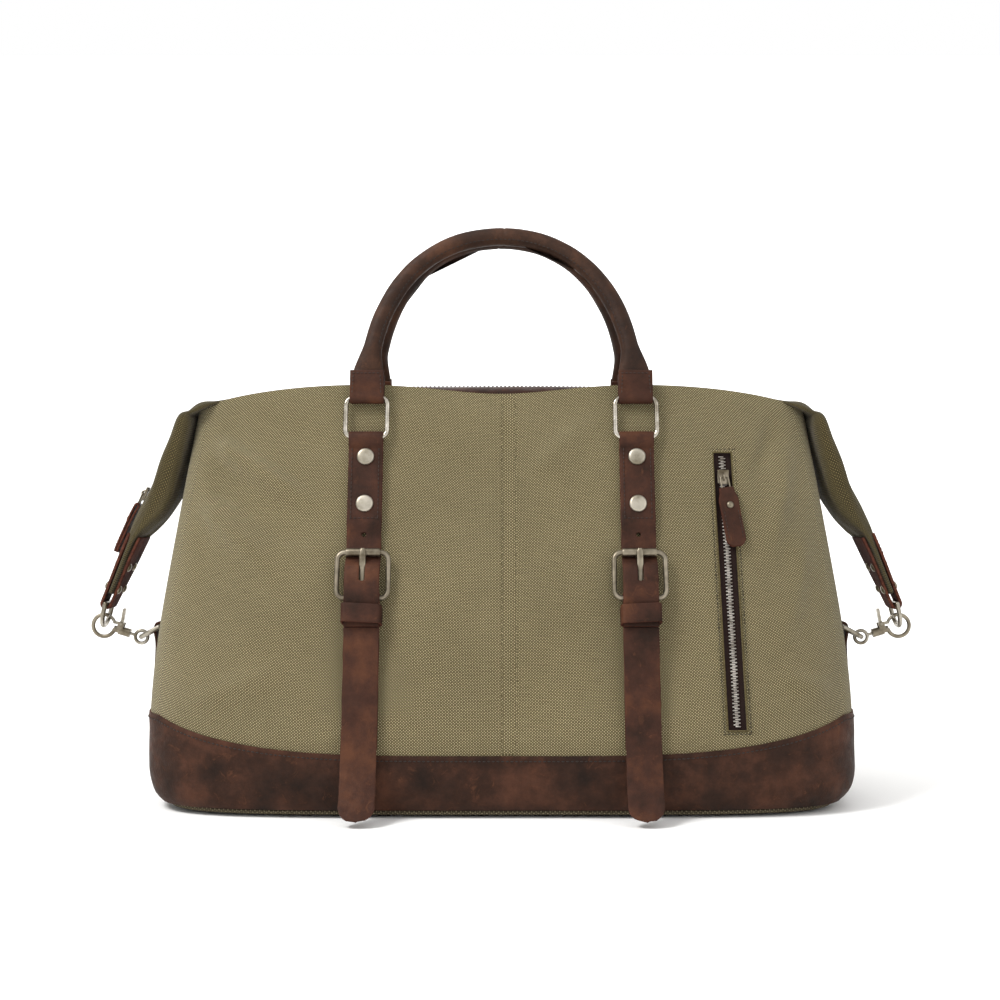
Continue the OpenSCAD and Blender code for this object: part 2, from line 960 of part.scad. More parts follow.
front_canvas();
rear_canvas();
mirror([1, 0, 0]) gusset();  // gusset_left
gusset();  // gusset_right
base_band();
bottom_panel();
base_piping();
bottom_board();
lining();
pocket_bag();
pocket_zip_tape();
pocket_zip_teeth();
pocket_slider();
pocket_pull();
upper_straps();
strap_rivets();
strap_tail(-1);  // strap_tail_left
strap_tail(1);  // strap_tail_right
lower_strap(-1);  // lower_strap_left
lower_strap(1);  // lower_strap_right
buckle_frame(-1);  // buckle_frame_left
buckle_frame(1);  // buckle_frame_right
roller(-1);  // roller_left
roller(1);  // roller_right
prong(-1);  // prong_left
prong(1);  // prong_right
keeper(-1);  // keeper_left
keeper(1);  // keeper_right
rear_straps();
mouth_facing_front();
mouth_facing_rear();
main_zip_front();
main_zip_rear();
ear_zips();
mirror([1, 0, 0]) ear_canvas();  // ear_canvas_left
ear_canvas();  // ear_canvas_right
ear_tab(-1);  // ear_tab_left
ear_tab(1);  // ear_tab_right
ear_rivets();
ear_ring(-1);  // ear_ring_left
ear_ring(1);  // ear_ring_right
main_zip_slider();
main_zip_pull();
front_handle();
rear_handle();
handle_tabs_front();
handle_tabs_rear();
handle_core_front();
handle_core_rear();
front_rings();
rear_rings();
gusset_tabs();
gusset_ring(-1);  // gusset_ring_left
gusset_ring(1);  // gusset_ring_right
swivel(-1);  // swivel_left
swivel(1);  // swivel_right
snap_body(-1);  // snap_body_left
snap_body(1);  // snap_body_right
snap_trigger(-1);  // snap_trigger_left
snap_trigger(1);  // snap_trigger_right
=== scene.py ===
"""A canvas and leather weekender duffel bag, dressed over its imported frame.

The frame gives every place and size. Soft pieces are grids wrapped on the bag's own
shape, straps and piping are strips and tubes along short routes, and each finish is
a small class that builds its own node tree.
"""

import logging
import math
from contextlib import contextmanager
from dataclasses import dataclass
from enum import Enum
from typing import Callable, Iterable, Iterator, Sequence

import bpy
from mathutils import Matrix, Vector, noise


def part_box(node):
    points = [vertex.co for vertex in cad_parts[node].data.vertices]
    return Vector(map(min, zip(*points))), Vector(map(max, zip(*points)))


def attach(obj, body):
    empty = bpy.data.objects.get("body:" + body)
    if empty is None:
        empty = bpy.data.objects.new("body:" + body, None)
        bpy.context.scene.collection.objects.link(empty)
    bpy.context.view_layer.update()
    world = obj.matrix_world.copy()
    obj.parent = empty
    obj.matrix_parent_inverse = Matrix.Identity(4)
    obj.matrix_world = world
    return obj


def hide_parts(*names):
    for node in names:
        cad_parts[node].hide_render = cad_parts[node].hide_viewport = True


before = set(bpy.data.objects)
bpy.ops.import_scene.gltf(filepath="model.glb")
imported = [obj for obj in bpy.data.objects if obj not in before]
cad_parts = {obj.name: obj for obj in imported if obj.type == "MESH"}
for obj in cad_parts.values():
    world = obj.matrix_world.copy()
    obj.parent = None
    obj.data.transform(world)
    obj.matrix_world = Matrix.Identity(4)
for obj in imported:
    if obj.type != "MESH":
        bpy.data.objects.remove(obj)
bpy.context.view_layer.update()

LOG = logging.getLogger("duffel")
MM = 0.001
STRAP_X = 107
Point = Callable[[float, float], Vector]


# ---- Small helpers ---------------------------------------------------------------


def clamp01(value: float) -> float:
    """Return value held between 0 and 1."""
    return max(0.0, min(1.0, value))


def mix(a: float, b: float, t: float) -> float:
    """Return the value a share t of the way from a to b."""
    return a + (b - a) * t


def ease(t: float) -> float:
    """Return t eased at both ends, held between 0 and 1."""
    t = clamp01(t)
    return t * t * (3 - 2 * t)


def bump_at(value: float, centre: float, width: float) -> float:
    """Return a soft hill of height 1 at centre that fades over width."""
    return math.exp(-(((value - centre) / width) ** 2))


def linear(code: str) -> tuple[float, float, float, float]:
    """Turn an sRGB hex code into linear RGBA.

    Args:
        code: A colour such as "#7a7354".

    Returns:
        The linear colour with alpha 1.
    """
    def channel(text: str) -> float:
        """Return one channel in linear light."""
        value = int(text, 16) / 255
        return value / 12.92 if value <= 0.04045 else ((value + 0.055) / 1.055) ** 2.4

    return (channel(code[1:3]), channel(code[3:5]), channel(code[5:7]), 1.0)


def smooth_line(points: Sequence[Sequence[float]], steps: int = 6) -> list[Vector]:
    """Run a Catmull-Rom curve through a few points.

    Args:
        points: The points, in 2D or 3D.
        steps: Points made for each stretch.

    Returns:
        The points of the smooth line, both ends included.
    """
    line = [Vector(p) for p in points]
    ends = [line[0] * 2 - line[1]] + line + [line[-1] * 2 - line[-2]]
    made = []
    for i in range(1, len(ends) - 2):
        a, b, c, d = ends[i - 1:i + 3]
        for k in range(steps):
            t = k / steps
            made.append(0.5 * (2 * b + (c - a) * t + (2 * a - 5 * b + 4 * c - d) * t * t
                               + (3 * b - a - 3 * c + d) * t ** 3))
    return made + [line[-1]]


# ---- The bag's own shape -----------------------------------------------------------


@dataclass(frozen=True)
class BagShape:
    """The outside of the bag as a formula, in metres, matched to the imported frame."""

    foot_w: float
    foot_d: float
    height: float
    top_w: float = 0.490
    top_d: float = 0.072
    power: float = 5.0
    slope_foot: float = 0.060
    slope_top: float = 0.340
    band_h: float = 0.048
    band_rise: float = 0.027
    seam_u: float = 0.95

    @property
    def slope(self) -> float:
        """Return the backward lean of the front, in radians."""
        return math.atan((self.foot_d - self.top_d) / 2 / (self.slope_top - self.slope_foot))

    @property
    def seam_w(self) -> float:
        """Return where the corner seams lie across an end wall."""
        return (1 - self.seam_u ** self.power) ** (1 / self.power)

    def half_w(self, z: float) -> float:
        """Return half the width at height z."""
        return (self.foot_w - (self.foot_w - self.top_w) * clamp01((z - 0.075) / 0.245) ** 1.5) / 2

    def half_d(self, z: float) -> float:
        """Return half the depth at height z."""
        share = clamp01((z - self.slope_foot) / (self.slope_top - self.slope_foot))
        return (self.foot_d - (self.foot_d - self.top_d) * share) / 2

    def seam_z(self, u: float) -> float:
        """Return the height of the band's top edge at u."""
        return self.band_h + self.band_rise * min(1.0, abs(u) / self.seam_u) ** 4

    def edge_z(self, u: float) -> float:
        """Return the height of the panels' top edge at u."""
        corner = 0.016 * min(1.0, abs(u) / self.seam_u) ** 4
        return self.height - corner - 0.009 * bump_at(u, 0, 0.28)

    def root(self, value: float) -> float:
        """Return the superellipse root of value."""
        return max(0.0, value) ** (1 / self.power)

    def front(self, u: float, z: float) -> Vector:
        """Return the front wall at u = -1 to 1 and height z."""
        return Vector((u * self.half_w(z), -self.half_d(z) * self.root(1 - abs(u) ** self.power), z))

    def end(self, w: float, z: float) -> Vector:
        """Return the right end wall at w = -1 to 1 and height z."""
        return Vector((self.half_w(z) * self.root(1 - abs(w) ** self.power), w * self.half_d(z), z))


def read_shape() -> BagShape:
    """Return the bag's shape, its driving sizes read from the frame."""
    low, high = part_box("base_band")
    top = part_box("front_canvas")[1][2]
    proud = 0.8 * MM
    shape = BagShape(foot_w=high[0] - low[0] - 2 * proud, foot_d=high[1] - low[1] - 2 * proud,
                     height=0.335)
    LOG.info("shape: foot %.3f x %.3f, panels up to %.3f", shape.foot_w, shape.foot_d, top)
    return shape


class Drape:
    """How far the canvas stands out from, or sinks behind, the plain shape."""

    STRAPS = (-STRAP_X * MM, STRAP_X * MM)
    SOFT_LIMIT = -1.8

    def __init__(self, shape: BagShape) -> None:
        """Keep the shape that the cloth hangs on."""
        self.shape = shape

    @staticmethod
    def fold(x: float, z: float, a: tuple[float, float], b: tuple[float, float], width: float) -> float:
        """Return a soft ridge of height 1 along the line from a to b, fading at its ends."""
        ax, az = a
        dx, dz = b[0] - ax, b[1] - az
        length = math.hypot(dx, dz)
        along = ((x - ax) * dx + (z - az) * dz) / length ** 2
        across = ((x - ax) * dz - (z - az) * dx) / length
        ends = ease(along / 0.35 + 0.35) * ease((1 - along) / 0.45 + 0.2)
        return ends * math.exp(-((across / width) ** 2))

    def held(self, x: float, z: float) -> float:
        """Return 0 where straps and the pocket zip hold the front flat, 1 where it is free."""
        free = 1.0
        for strap in self.STRAPS:
            free *= 1 - bump_at(x, strap, 0.026) * ease((z - 0.03) / 0.03)
        free *= 1 - 0.95 * bump_at(x, 0.177, 0.020)
        return free

    def rim(self, x: float, z: float) -> float:
        """Return 0 at a panel's four edges, where it is sewn down, and 1 inside them."""
        u = x / self.shape.half_w(z)
        foot = ease((z - self.shape.seam_z(u) - 0.003) / 0.030)
        return foot * ease((self.shape.edge_z(u) - z) / 0.045) * ease((0.945 - abs(u)) / 0.09)

    def front(self, x: float, z: float) -> float:
        """Return the front canvas's offset at x and z."""
        share = clamp01((z - 0.06) / 0.26)
        rim = self.rim(x, z)
        belly = 3.0 * math.sin(math.pi * share ** 0.8) * (1 - (x / 0.28) ** 2)
        soft = 5.0 * noise.noise(Vector((x * 7, z * 9, 2.3)))
        soft += 2.6 * noise.noise(Vector((x * 19, z * 15, 7.1)))
        soft += 1.1 * noise.noise(Vector((x * 46 + z * 20, z * 30, 1.7)))
        folds = 0.0
        for a, b, width, height in (
            ((-0.236, 0.292), (-0.140, 0.232), 0.009, 3.9), ((-0.236, 0.268), (-0.150, 0.205), 0.009, -3.4),
            ((-0.246, 0.246), (-0.165, 0.175), 0.010, 3.2), ((-0.200, 0.318), (-0.125, 0.272), 0.008, -2.4),
            ((0.238, 0.296), (0.205, 0.190), 0.009, 2.8), ((0.226, 0.318), (0.196, 0.250), 0.007, -2.2),
            ((0.252, 0.230), (0.212, 0.120), 0.010, 2.0), ((-0.060, 0.326), (0.030, 0.300), 0.008, 2.0),
            ((-0.075, 0.300), (-0.005, 0.240), 0.010, -1.6), ((0.075, 0.310), (0.020, 0.255), 0.010, 1.7),
            ((-0.170, 0.110), (-0.240, 0.085), 0.010, 1.8), ((0.215, 0.105), (0.262, 0.090), 0.008, 1.6)):
            folds += 1.9 * height * self.fold(x, z, a, b, width)
        seam = -1.3 * bump_at(x, 0.0045, 0.006)
        depth = belly + soft + folds + seam - 1.0
        if depth < self.SOFT_LIMIT:
            depth = self.SOFT_LIMIT - 1.8 * (1 - math.exp((depth - self.SOFT_LIMIT) / 1.8))
        return depth * rim * self.held(x, z) * MM

    def rear(self, x: float, z: float) -> float:
        """Return the rear canvas's offset at x and z."""
        share = clamp01((z - 0.06) / 0.26)
        rim = self.rim(x, z)
        free = 1.0
        for strap in self.STRAPS:
            free *= 1 - bump_at(x, strap, 0.024) * ease((z - 0.19) / 0.03)
        soft = 4.2 * noise.noise(Vector((x * 7 + 5, z * 8, 9.2)))
        soft += 1.6 * noise.noise(Vector((x * 17, z * 14, 3.1)))
        return (3.5 * math.sin(math.pi * share) + soft - 1.0) * rim * free * MM

    def wall(self, side: int, x: float, z: float) -> float:
        """Return the offset of the front canvas (side -1) or of the rear one (side 1)."""
        return self.front(x, z) if side < 0 else self.rear(x, z)

    def end(self, y: float, z: float) -> float:
        """Return an end wall's offset at y and z: it sinks in under the ear."""
        rim = ease((z - 0.075) / 0.04) * ease((0.322 - z) / 0.04)
        half = self.shape.half_d(z) * self.shape.seam_w
        middle = math.cos(clamp01(abs(y) / half) * math.pi / 2) ** 1.3
        hollow = -4.4 * bump_at(z, 0.215, 0.07) * middle
        soft = 1.3 * noise.noise(Vector((y * 16, z * 10, 4.4)))
        return (hollow + soft * middle) * rim * MM


SHAPE = read_shape()
DRAPE = Drape(SHAPE)


def on_front(x: float, out: float, up: float) -> Vector:
    """Place a point on a front strap, from the height of the handle rings.

    Args:
        x: Distance along the bag, in millimetres.
        out: Distance out from the sloping front, in millimetres.
        up: Distance up the slope from the middle of the rings, in millimetres.

    Returns:
        The point in metres.
    """
    lean = SHAPE.slope
    ring_z = 0.305
    y = -SHAPE.half_d(ring_z) + (up * math.sin(lean) - out * math.cos(lean)) * MM
    z = ring_z + (up * math.cos(lean) + out * math.sin(lean)) * MM
    return Vector((x * MM, y, z))


def turned(place: Callable[..., Vector]) -> Callable[..., Vector]:
    """Return a placing function turned half round the bag, for the rear."""
    def rear(*args: float) -> Vector:
        """Return the point on the other side."""
        p = place(*args)
        return Vector((-p.x, -p.y, p.z))

    return rear


# ---- Mesh building ---------------------------------------------------------------------


def deselect() -> None:
    """Leave edit mode and clear the selection."""
    if bpy.context.object and bpy.context.object.mode != "OBJECT":
        bpy.ops.object.mode_set(mode="OBJECT")
    bpy.ops.object.select_all(action="DESELECT")


def activate(piece: bpy.types.Object) -> bpy.types.Object:
    """Select one piece and make it active."""
    deselect()
    piece.select_set(True)
    bpy.context.view_layer.objects.active = piece
    return piece


def settle(piece: bpy.types.Object) -> bpy.types.Object:
    """Put a piece's place, turn and size into its mesh."""
    activate(piece)
    bpy.ops.object.transform_apply(location=True, rotation=True, scale=True)
    return piece


def modifier(piece: bpy.types.Object, kind: str, **settings: object) -> bpy.types.Object:
    """Add a modifier with its settings and apply it.

    Args:
        piece: The piece to change.
        kind: The modifier's type.
        settings: Its settings by name.

    Returns:
        The same piece.
    """
    activate(piece)
    made = piece.modifiers.new(kind.title(), kind)
    for name, value in settings.items():
        setattr(made, name, value)
    bpy.ops.object.modifier_apply(modifier=made.name)
    return piece


def shade(piece: bpy.types.Object, angle: float = 40) -> bpy.types.Object:
    """Shade a piece smooth, with sharp edges past an angle in degrees."""
    activate(piece)
    bpy.ops.object.shade_smooth_by_angle(angle=math.radians(angle))
    return piece


@contextmanager
def editing(piece: bpy.types.Object) -> Iterator[None]:
    """Open a piece in edit mode with all of it selected, then close it."""
    activate(piece)
    bpy.ops.object.mode_set(mode="EDIT")
    bpy.ops.mesh.select_all(action="SELECT")
    yield
    bpy.ops.object.mode_set(mode="OBJECT")


def recalculate(piece: bpy.types.Object) -> bpy.types.Object:
    """Turn every face of a closed piece outwards."""
    with editing(piece):
        bpy.ops.mesh.normals_make_consistent(inside=False)
    return piece


def close_ends(piece: bpy.types.Object) -> bpy.types.Object:
    """Weld the seam of a wrapped skin, cap its open ends and turn its faces outwards."""
    merge(piece)
    with editing(piece):
        bpy.ops.mesh.fill_holes(sides=0)
    return recalculate(piece)


def merge(piece: bpy.types.Object, distance: float = 0.00002) -> bpy.types.Object:
    """Join the vertices that lie on each other."""
    with editing(piece):
        bpy.ops.mesh.remove_doubles(threshold=distance)
    return piece


def join(name: str, parts: Sequence[bpy.types.Object]) -> bpy.types.Object:
    """Join parts into one piece with a name."""
    activate(parts[0])
    for part in parts[1:]:
        part.select_set(True)
    if len(parts) > 1:
        bpy.ops.object.join()
    piece = bpy.context.object
    piece.name = name
    return piece


def wrapped(name: str, cols: int, rows: int, place: Point, size: tuple[float, float]) -> bpy.types.Object:
    """Wrap a flat grid on a surface.

    Args:
        name: The piece's name.
        cols: Cells across.
        rows: Cells up.
        place: Gives the point at u, v, each from 0 to 1.
        size: Cloth width and height in metres, which the UV map keeps.

    Returns:
        The sheet, its faces outwards when u runs right and v runs up as seen from outside.
    """
    deselect()
    bpy.ops.mesh.primitive_grid_add(x_subdivisions=cols, y_subdivisions=rows, size=1, calc_uvs=True)
    piece = bpy.context.object
    piece.name = name
    mesh = piece.data
    for item in mesh.uv_layers.active.data:
        item.uv = (item.uv[0] * size[0], item.uv[1] * size[1])
    for vertex in mesh.vertices:
        vertex.co = place(clamp01(vertex.co.x + 0.5), clamp01(vertex.co.y + 0.5))
    mesh.update()
    return piece


def thicken(piece: bpy.types.Object, thickness: float, rim: int = 0, inward: bool = True) -> bpy.types.Object:
    """Give a sheet its thickness.

    Args:
        piece: The sheet.
        thickness: In metres.
        rim: How many material slots the cut edge lies past the face's.
        inward: Whether the thickness grows behind the faces.

    Returns:
        The same piece, closed.
    """
    return modifier(piece, "SOLIDIFY", thickness=thickness, offset=-1 if inward else 1,
                    use_even_offset=True, material_offset_rim=rim)


def strip(name: str, line: Sequence[Vector], width: float, thickness: float, place: Callable[..., Vector],
          x: float, cols: int = 6, tip: float = 0.0, cup: float = 0.0) -> bpy.types.Object:
    """Lay a flat strap along a side-view line.

    Args:
        name: The piece's name.
        line: Points of (distance out, distance up), from top to bottom, in millimetres.
        width: The strap's width in millimetres.
        thickness: Its thickness in millimetres.
        place: Turns x, out and up into a point.
        x: The strap's middle, in millimetres.
        cols: Cells across.
        tip: Length of a rounded lower end, in millimetres.
        cup: How far the edges curl towards the bag, in millimetres.

    Returns:
        The strap, with material slot 0 on its faces and slot 1 on its cut edges.
    """
    lengths = [0.0]
    for a, b in zip(line, line[1:]):
        lengths.append(lengths[-1] + (b - a).length)
    total = lengths[-1]

    def at(share: float) -> tuple[float, float]:
        """Return out and up at a share of the way along."""
        want = share * total
        for i in range(1, len(line)):
            if want <= lengths[i] + 1e-9:
                t = (want - lengths[i - 1]) / max(1e-9, lengths[i] - lengths[i - 1])
                p = line[i - 1].lerp(line[i], t)
                return p.x, p.y
        return line[-1].x, line[-1].y

    def point(u: float, v: float) -> Vector:
        """Return the strap's middle surface."""
        out, up = at(1 - v)
        half = width / 2
        left = v * total
        if tip and left < tip:
            half *= math.sqrt(clamp01(1 - ((tip - left) / tip) ** 2.4)) * 0.98 + 0.02
        across = u * 2 - 1
        return place(x + across * half, out - cup * across * across, up)

    rows = max(8, min(110, int(total / 1.6)))
    piece = wrapped(name, cols, rows, point, (width * MM, total * MM))
    piece.data.materials.append(None)
    piece.data.materials.append(None)
    modifier(piece, "SOLIDIFY", thickness=thickness * MM, offset=0, use_even_offset=True,
             material_offset_rim=1)
    modifier(piece, "BEVEL", width=min(0.5, thickness / 4) * MM, segments=2, limit_method="ANGLE",
             angle_limit=math.radians(50), material=-1)
    return shade(piece, 50)


def tube(name: str, route: Sequence[Vector], radius: float, closed: bool = False, sides: int = 4,
         caps: bool = True) -> bpy.types.Object:
    """Sweep a round wire along a route.

    Args:
        name: The piece's name.
        route: Its points in metres.
        radius: In metres.
        closed: Whether the route is a loop.
        sides: Roundness of the wire; the section has 4 + 2 * sides faces.
        caps: Whether open ends are closed.

    Returns:
        The wire as a mesh.
    """
    deselect()
    curve = bpy.data.curves.new(name, "CURVE")
    curve.dimensions = "3D"
    curve.bevel_depth = radius
    curve.bevel_resolution = sides
    curve.use_fill_caps = caps
    spline = curve.splines.new("POLY")
    spline.points.add(len(route) - 1)
    for item, p in zip(spline.points, route):
        item.co = (*p, 1)
    spline.use_cyclic_u = closed
    piece = bpy.data.objects.new(name, curve)
    bpy.context.collection.objects.link(piece)
    activate(piece)
    bpy.ops.object.convert(target="MESH")
    piece = bpy.context.object
    return shade(merge(piece), 60)


def rounded_loop(half_x: float, half_z: float, corner: float, steps: int = 8) -> list[tuple[float, float]]:
    """Return a rounded rectangle as points, anticlockwise, in the units given."""
    made = []
    for turn, (cx, cz) in enumerate(((1, 1), (-1, 1), (-1, -1), (1, -1))):
        for k in range(steps + 1):
            a = math.pi / 2 * (turn + k / steps)
            made.append((cx * (half_x - corner) + corner * math.cos(a),
                         cz * (half_z - corner) + corner * math.sin(a)))
    return made


def turned_disc(name: str, profile: Sequence[tuple[float, float]], steps: int = 24) -> bpy.types.Object:
    """Turn a profile of (radius, height) round the Z axis with the spin operator.

    Args:
        name: The piece's name.
        profile: Points in metres, from the axis outwards and back.
        steps: Cells round the axis.

    Returns:
        The closed round piece.
    """
    deselect()
    mesh = bpy.data.meshes.new(name)
    piece = bpy.data.objects.new(name, mesh)
    bpy.context.collection.objects.link(piece)
    mesh.from_pydata([(r, 0, h) for r, h in profile], [(i, i + 1) for i in range(len(profile) - 1)], [])
    activate(piece)
    bpy.ops.object.mode_set(mode="EDIT")
    bpy.ops.mesh.select_all(action="SELECT")
    bpy.ops.mesh.spin(steps=steps, angle=math.tau, center=(0, 0, 0), axis=(0, 0, 1))
    bpy.ops.mesh.remove_doubles(threshold=0.00001)
    bpy.ops.mesh.normals_make_consistent(inside=False)
    bpy.ops.object.mode_set(mode="OBJECT")
    return shade(piece, 45)


def copies(name: str, model: bpy.types.Object, places: Iterable[Matrix]) -> bpy.types.Object:
    """Copy a small model to many places as one mesh, and remove the model.

    Args:
        name: The joined piece's name.
        model: The model, at the origin.
        places: One matrix for each copy.

    Returns:
        One piece that holds every copy.
    """
    source = model.data
    points = [v.co.copy() for v in source.vertices]
    faces = [tuple(p.vertices) for p in source.polygons]
    made_points, made_faces = [], []
    for place in places:
        start = len(made_points)
        made_points.extend(place @ p for p in points)
        made_faces.extend(tuple(start + i for i in face) for face in faces)
    mesh = bpy.data.meshes.new(name)
    mesh.from_pydata(made_points, [], made_faces)
    mesh.polygons.foreach_set("use_smooth", [True] * len(made_faces))
    piece = bpy.data.objects.new(name, mesh)
    bpy.context.collection.objects.link(piece)
    bpy.data.objects.remove(model)
    return piece


def facing(origin: Vector, along: Vector, out: Vector) -> Matrix:
    """Return a place whose X runs along and whose Z points out."""
    x = along.normalized()
    z = (out - x * out.dot(x)).normalized()
    y = z.cross(x)
    return Matrix(((x.x, y.x, z.x, origin.x), (x.y, y.y, z.y, origin.y), (x.z, y.z, z.z, origin.z),
                   (0, 0, 0, 1)))


def stitches(name: str, rows: Sequence[Sequence[Vector]], out: Callable[[Vector], Vector], pitch: float = 3.4,
             thread: float = 0.55, lift: float = 0.15) -> bpy.types.Object:
    """Sew rows of stitches.

    Args:
        name: The piece's name.
        rows: Routes in metres.
        out: Gives the outward direction at a point.
        pitch: Stitch spacing in millimetres.
        thread: Thread radius in millimetres.
        lift: How far the thread's middle lies over the route, in millimetres.

    Returns:
        One piece with every stitch.
    """
    deselect()
    bpy.ops.mesh.primitive_uv_sphere_add(segments=6, ring_count=4, radius=1)
    model = bpy.context.object
    model.scale = (pitch * 0.40 * MM, thread * MM, thread * MM)
    settle(model)
    places = []
    for row in rows:
        spare = 0.0
        for a, b in zip(row, row[1:]):
            length = (b - a).length
            if length < 1e-7:
                continue
            at = spare
            while at < length:
                p = a.lerp(b, at / length)
                normal = out(p)
                places.append(facing(p + normal * lift * MM, b - a, normal))
                at += pitch * MM
            spare = at - length
    return copies(name, model, places)


# ---- Finishes ---------------------------------------------------------------------------


def add(tree: bpy.types.NodeTree, kind: str, feeds: dict | None = None, **settings: object) -> bpy.types.Node:
    """Add a node with its settings and links.

    Args:
        tree: The material's node tree.
        kind: The node's type.
        feeds: Input name or number to a socket that feeds it, or a fixed value.
        settings: The node's own settings by name.

    Returns:
        The node.
    """
    node = tree.nodes.new(kind)
    for name, value in settings.items():
        setattr(node, name, value)
    for socket, source in (feeds or {}).items():
        target = node.inputs[socket]
        if isinstance(source, bpy.types.NodeSocket):
            tree.links.new(source, target)
        else:
            target.default_value = source
    return node


class Space(Enum):
    """Where a pattern lies."""

    OBJECT = "Object"
    CLOTH = "UV"


@dataclass(frozen=True)
class Finish:
    """A finish: what it is called, the record's slot it stands for, and how it shines."""

    name: str
    slot: str
    roughness: float = 0.6
    metallic: float = 0.0
    specular: float = 0.5
    sheen: float = 0.0

    def material(self) -> bpy.types.Material:
        """Return the material, made once."""
        known = bpy.data.materials.get(self.name)
        if known:
            return known
        made = bpy.data.materials.new(self.name)
        made.use_nodes = True
        tree = made.node_tree
        shader = tree.nodes["Principled BSDF"]
        shader.inputs["Roughness"].default_value = self.roughness
        shader.inputs["Metallic"].default_value = self.metallic
        shader.inputs["Specular IOR Level"].default_value = self.specular
        shader.inputs["Sheen Weight"].default_value = self.sheen
        self.paint(tree, shader)
        return made

    def paint(self, tree: bpy.types.NodeTree, shader: bpy.types.Node) -> None:
        """Add the colour and surface nodes."""
        raise NotImplementedError

    def space(self, tree: bpy.types.NodeTree, where: Space) -> bpy.types.NodeSocket:
        """Return the coordinates that a pattern is drawn in."""
        return add(tree, "ShaderNodeTexCoord").outputs[where.value]


@dataclass(frozen=True)
class WovenCloth(Finish):
    """Plain-woven cotton: pale crowns of yarn in staggered rows with dark gaps between."""

    light: str = "#bdb088"
    middle: str = "#6b6144"
    dark: str = "#2b2516"
    pitch: tuple[float, float] = (1.22, 1.08)
    depth: float = 0.55
    wash: float = 0.42

    def paint(self, tree: bpy.types.NodeTree, shader: bpy.types.Node) -> None:
        """Draw yarns as the product of two waves, unevenly spun, on washed-out colour."""
        uv = self.space(tree, Space.CLOTH)
        wobble = add(tree, "ShaderNodeTexNoise", {"Vector": uv, "Scale": 210.0, "Detail": 2.0})
        shift = add(tree, "ShaderNodeVectorMath", {0: wobble.outputs["Color"], 1: (0.5, 0.5, 0.5)},
                    operation="SUBTRACT")
        drift = add(tree, "ShaderNodeVectorMath", {0: shift.outputs[0], "Scale": self.pitch[1] * 0.8 * MM},
                    operation="SCALE")
        place = add(tree, "ShaderNodeVectorMath", {0: uv, 1: drift.outputs[0]}, operation="ADD")
        step = (math.pi / (self.pitch[0] * MM), math.pi / (self.pitch[1] * MM), 1.0)
        turns = add(tree, "ShaderNodeVectorMath", {0: place.outputs[0], 1: step}, operation="MULTIPLY")
        axes = add(tree, "ShaderNodeSeparateXYZ", {0: turns.outputs[0]})
        warp = add(tree, "ShaderNodeMath", {0: axes.outputs["X"]}, operation="SINE")
        weft = add(tree, "ShaderNodeMath", {0: axes.outputs["Y"]}, operation="SINE")
        yarn = add(tree, "ShaderNodeMath", {0: warp.outputs[0], 1: weft.outputs[0]}, operation="MULTIPLY")
        crown = add(tree, "ShaderNodeMath", {0: yarn.outputs[0], 1: 0.5, 2: 0.5}, operation="MULTIPLY_ADD")
        flat = add(tree, "ShaderNodeMath", {0: yarn.outputs[0]}, operation="ABSOLUTE")
        tone = add(tree, "ShaderNodeValToRGB", {0: crown.outputs[0]})
        ramp = tone.color_ramp
        ramp.elements[0].position, ramp.elements[0].color = 0.12, linear(self.middle)
        ramp.elements[1].position, ramp.elements[1].color = 0.90, linear(self.light)
        ramp.elements.new(0.46).color = linear(self.dark)
        ramp.elements.new(0.64).color = linear(self.middle)
        body = self.space(tree, Space.OBJECT)
        clouds = add(tree, "ShaderNodeTexNoise", {"Vector": body, "Scale": 11.0, "Detail": 4.0,
                                                  "Roughness": 0.6})
        slubs = add(tree, "ShaderNodeMapping", {"Vector": uv, "Scale": (70.0, 900.0, 1.0)})
        streak = add(tree, "ShaderNodeTexNoise", {"Vector": slubs.outputs[0], "Scale": 1.0, "Detail": 2.0})
        both = add(tree, "ShaderNodeMath", {0: clouds.outputs["Fac"], 1: streak.outputs["Fac"]},
                   operation="ADD")
        level = add(tree, "ShaderNodeMath", {0: both.outputs[0], 1: self.wash, 2: 1.0 - self.wash},
                    operation="MULTIPLY_ADD")
        washed = add(tree, "ShaderNodeVectorMath", {0: tone.outputs["Color"], "Scale": level.outputs[0]},
                     operation="SCALE")
        tree.links.new(washed.outputs[0], shader.inputs["Base Color"])
        fuzz = add(tree, "ShaderNodeTexNoise", {"Vector": uv, "Scale": 2600.0, "Detail": 2.0})
        height = add(tree, "ShaderNodeMath", {0: fuzz.outputs["Fac"], 1: 0.35, 2: flat.outputs[0]},
                     operation="MULTIPLY_ADD")
        relief = add(tree, "ShaderNodeBump", {"Height": height.outputs[0], "Strength": 0.8,
                                              "Distance": self.depth * MM})
        tree.links.new(relief.outputs[0], shader.inputs["Normal"])


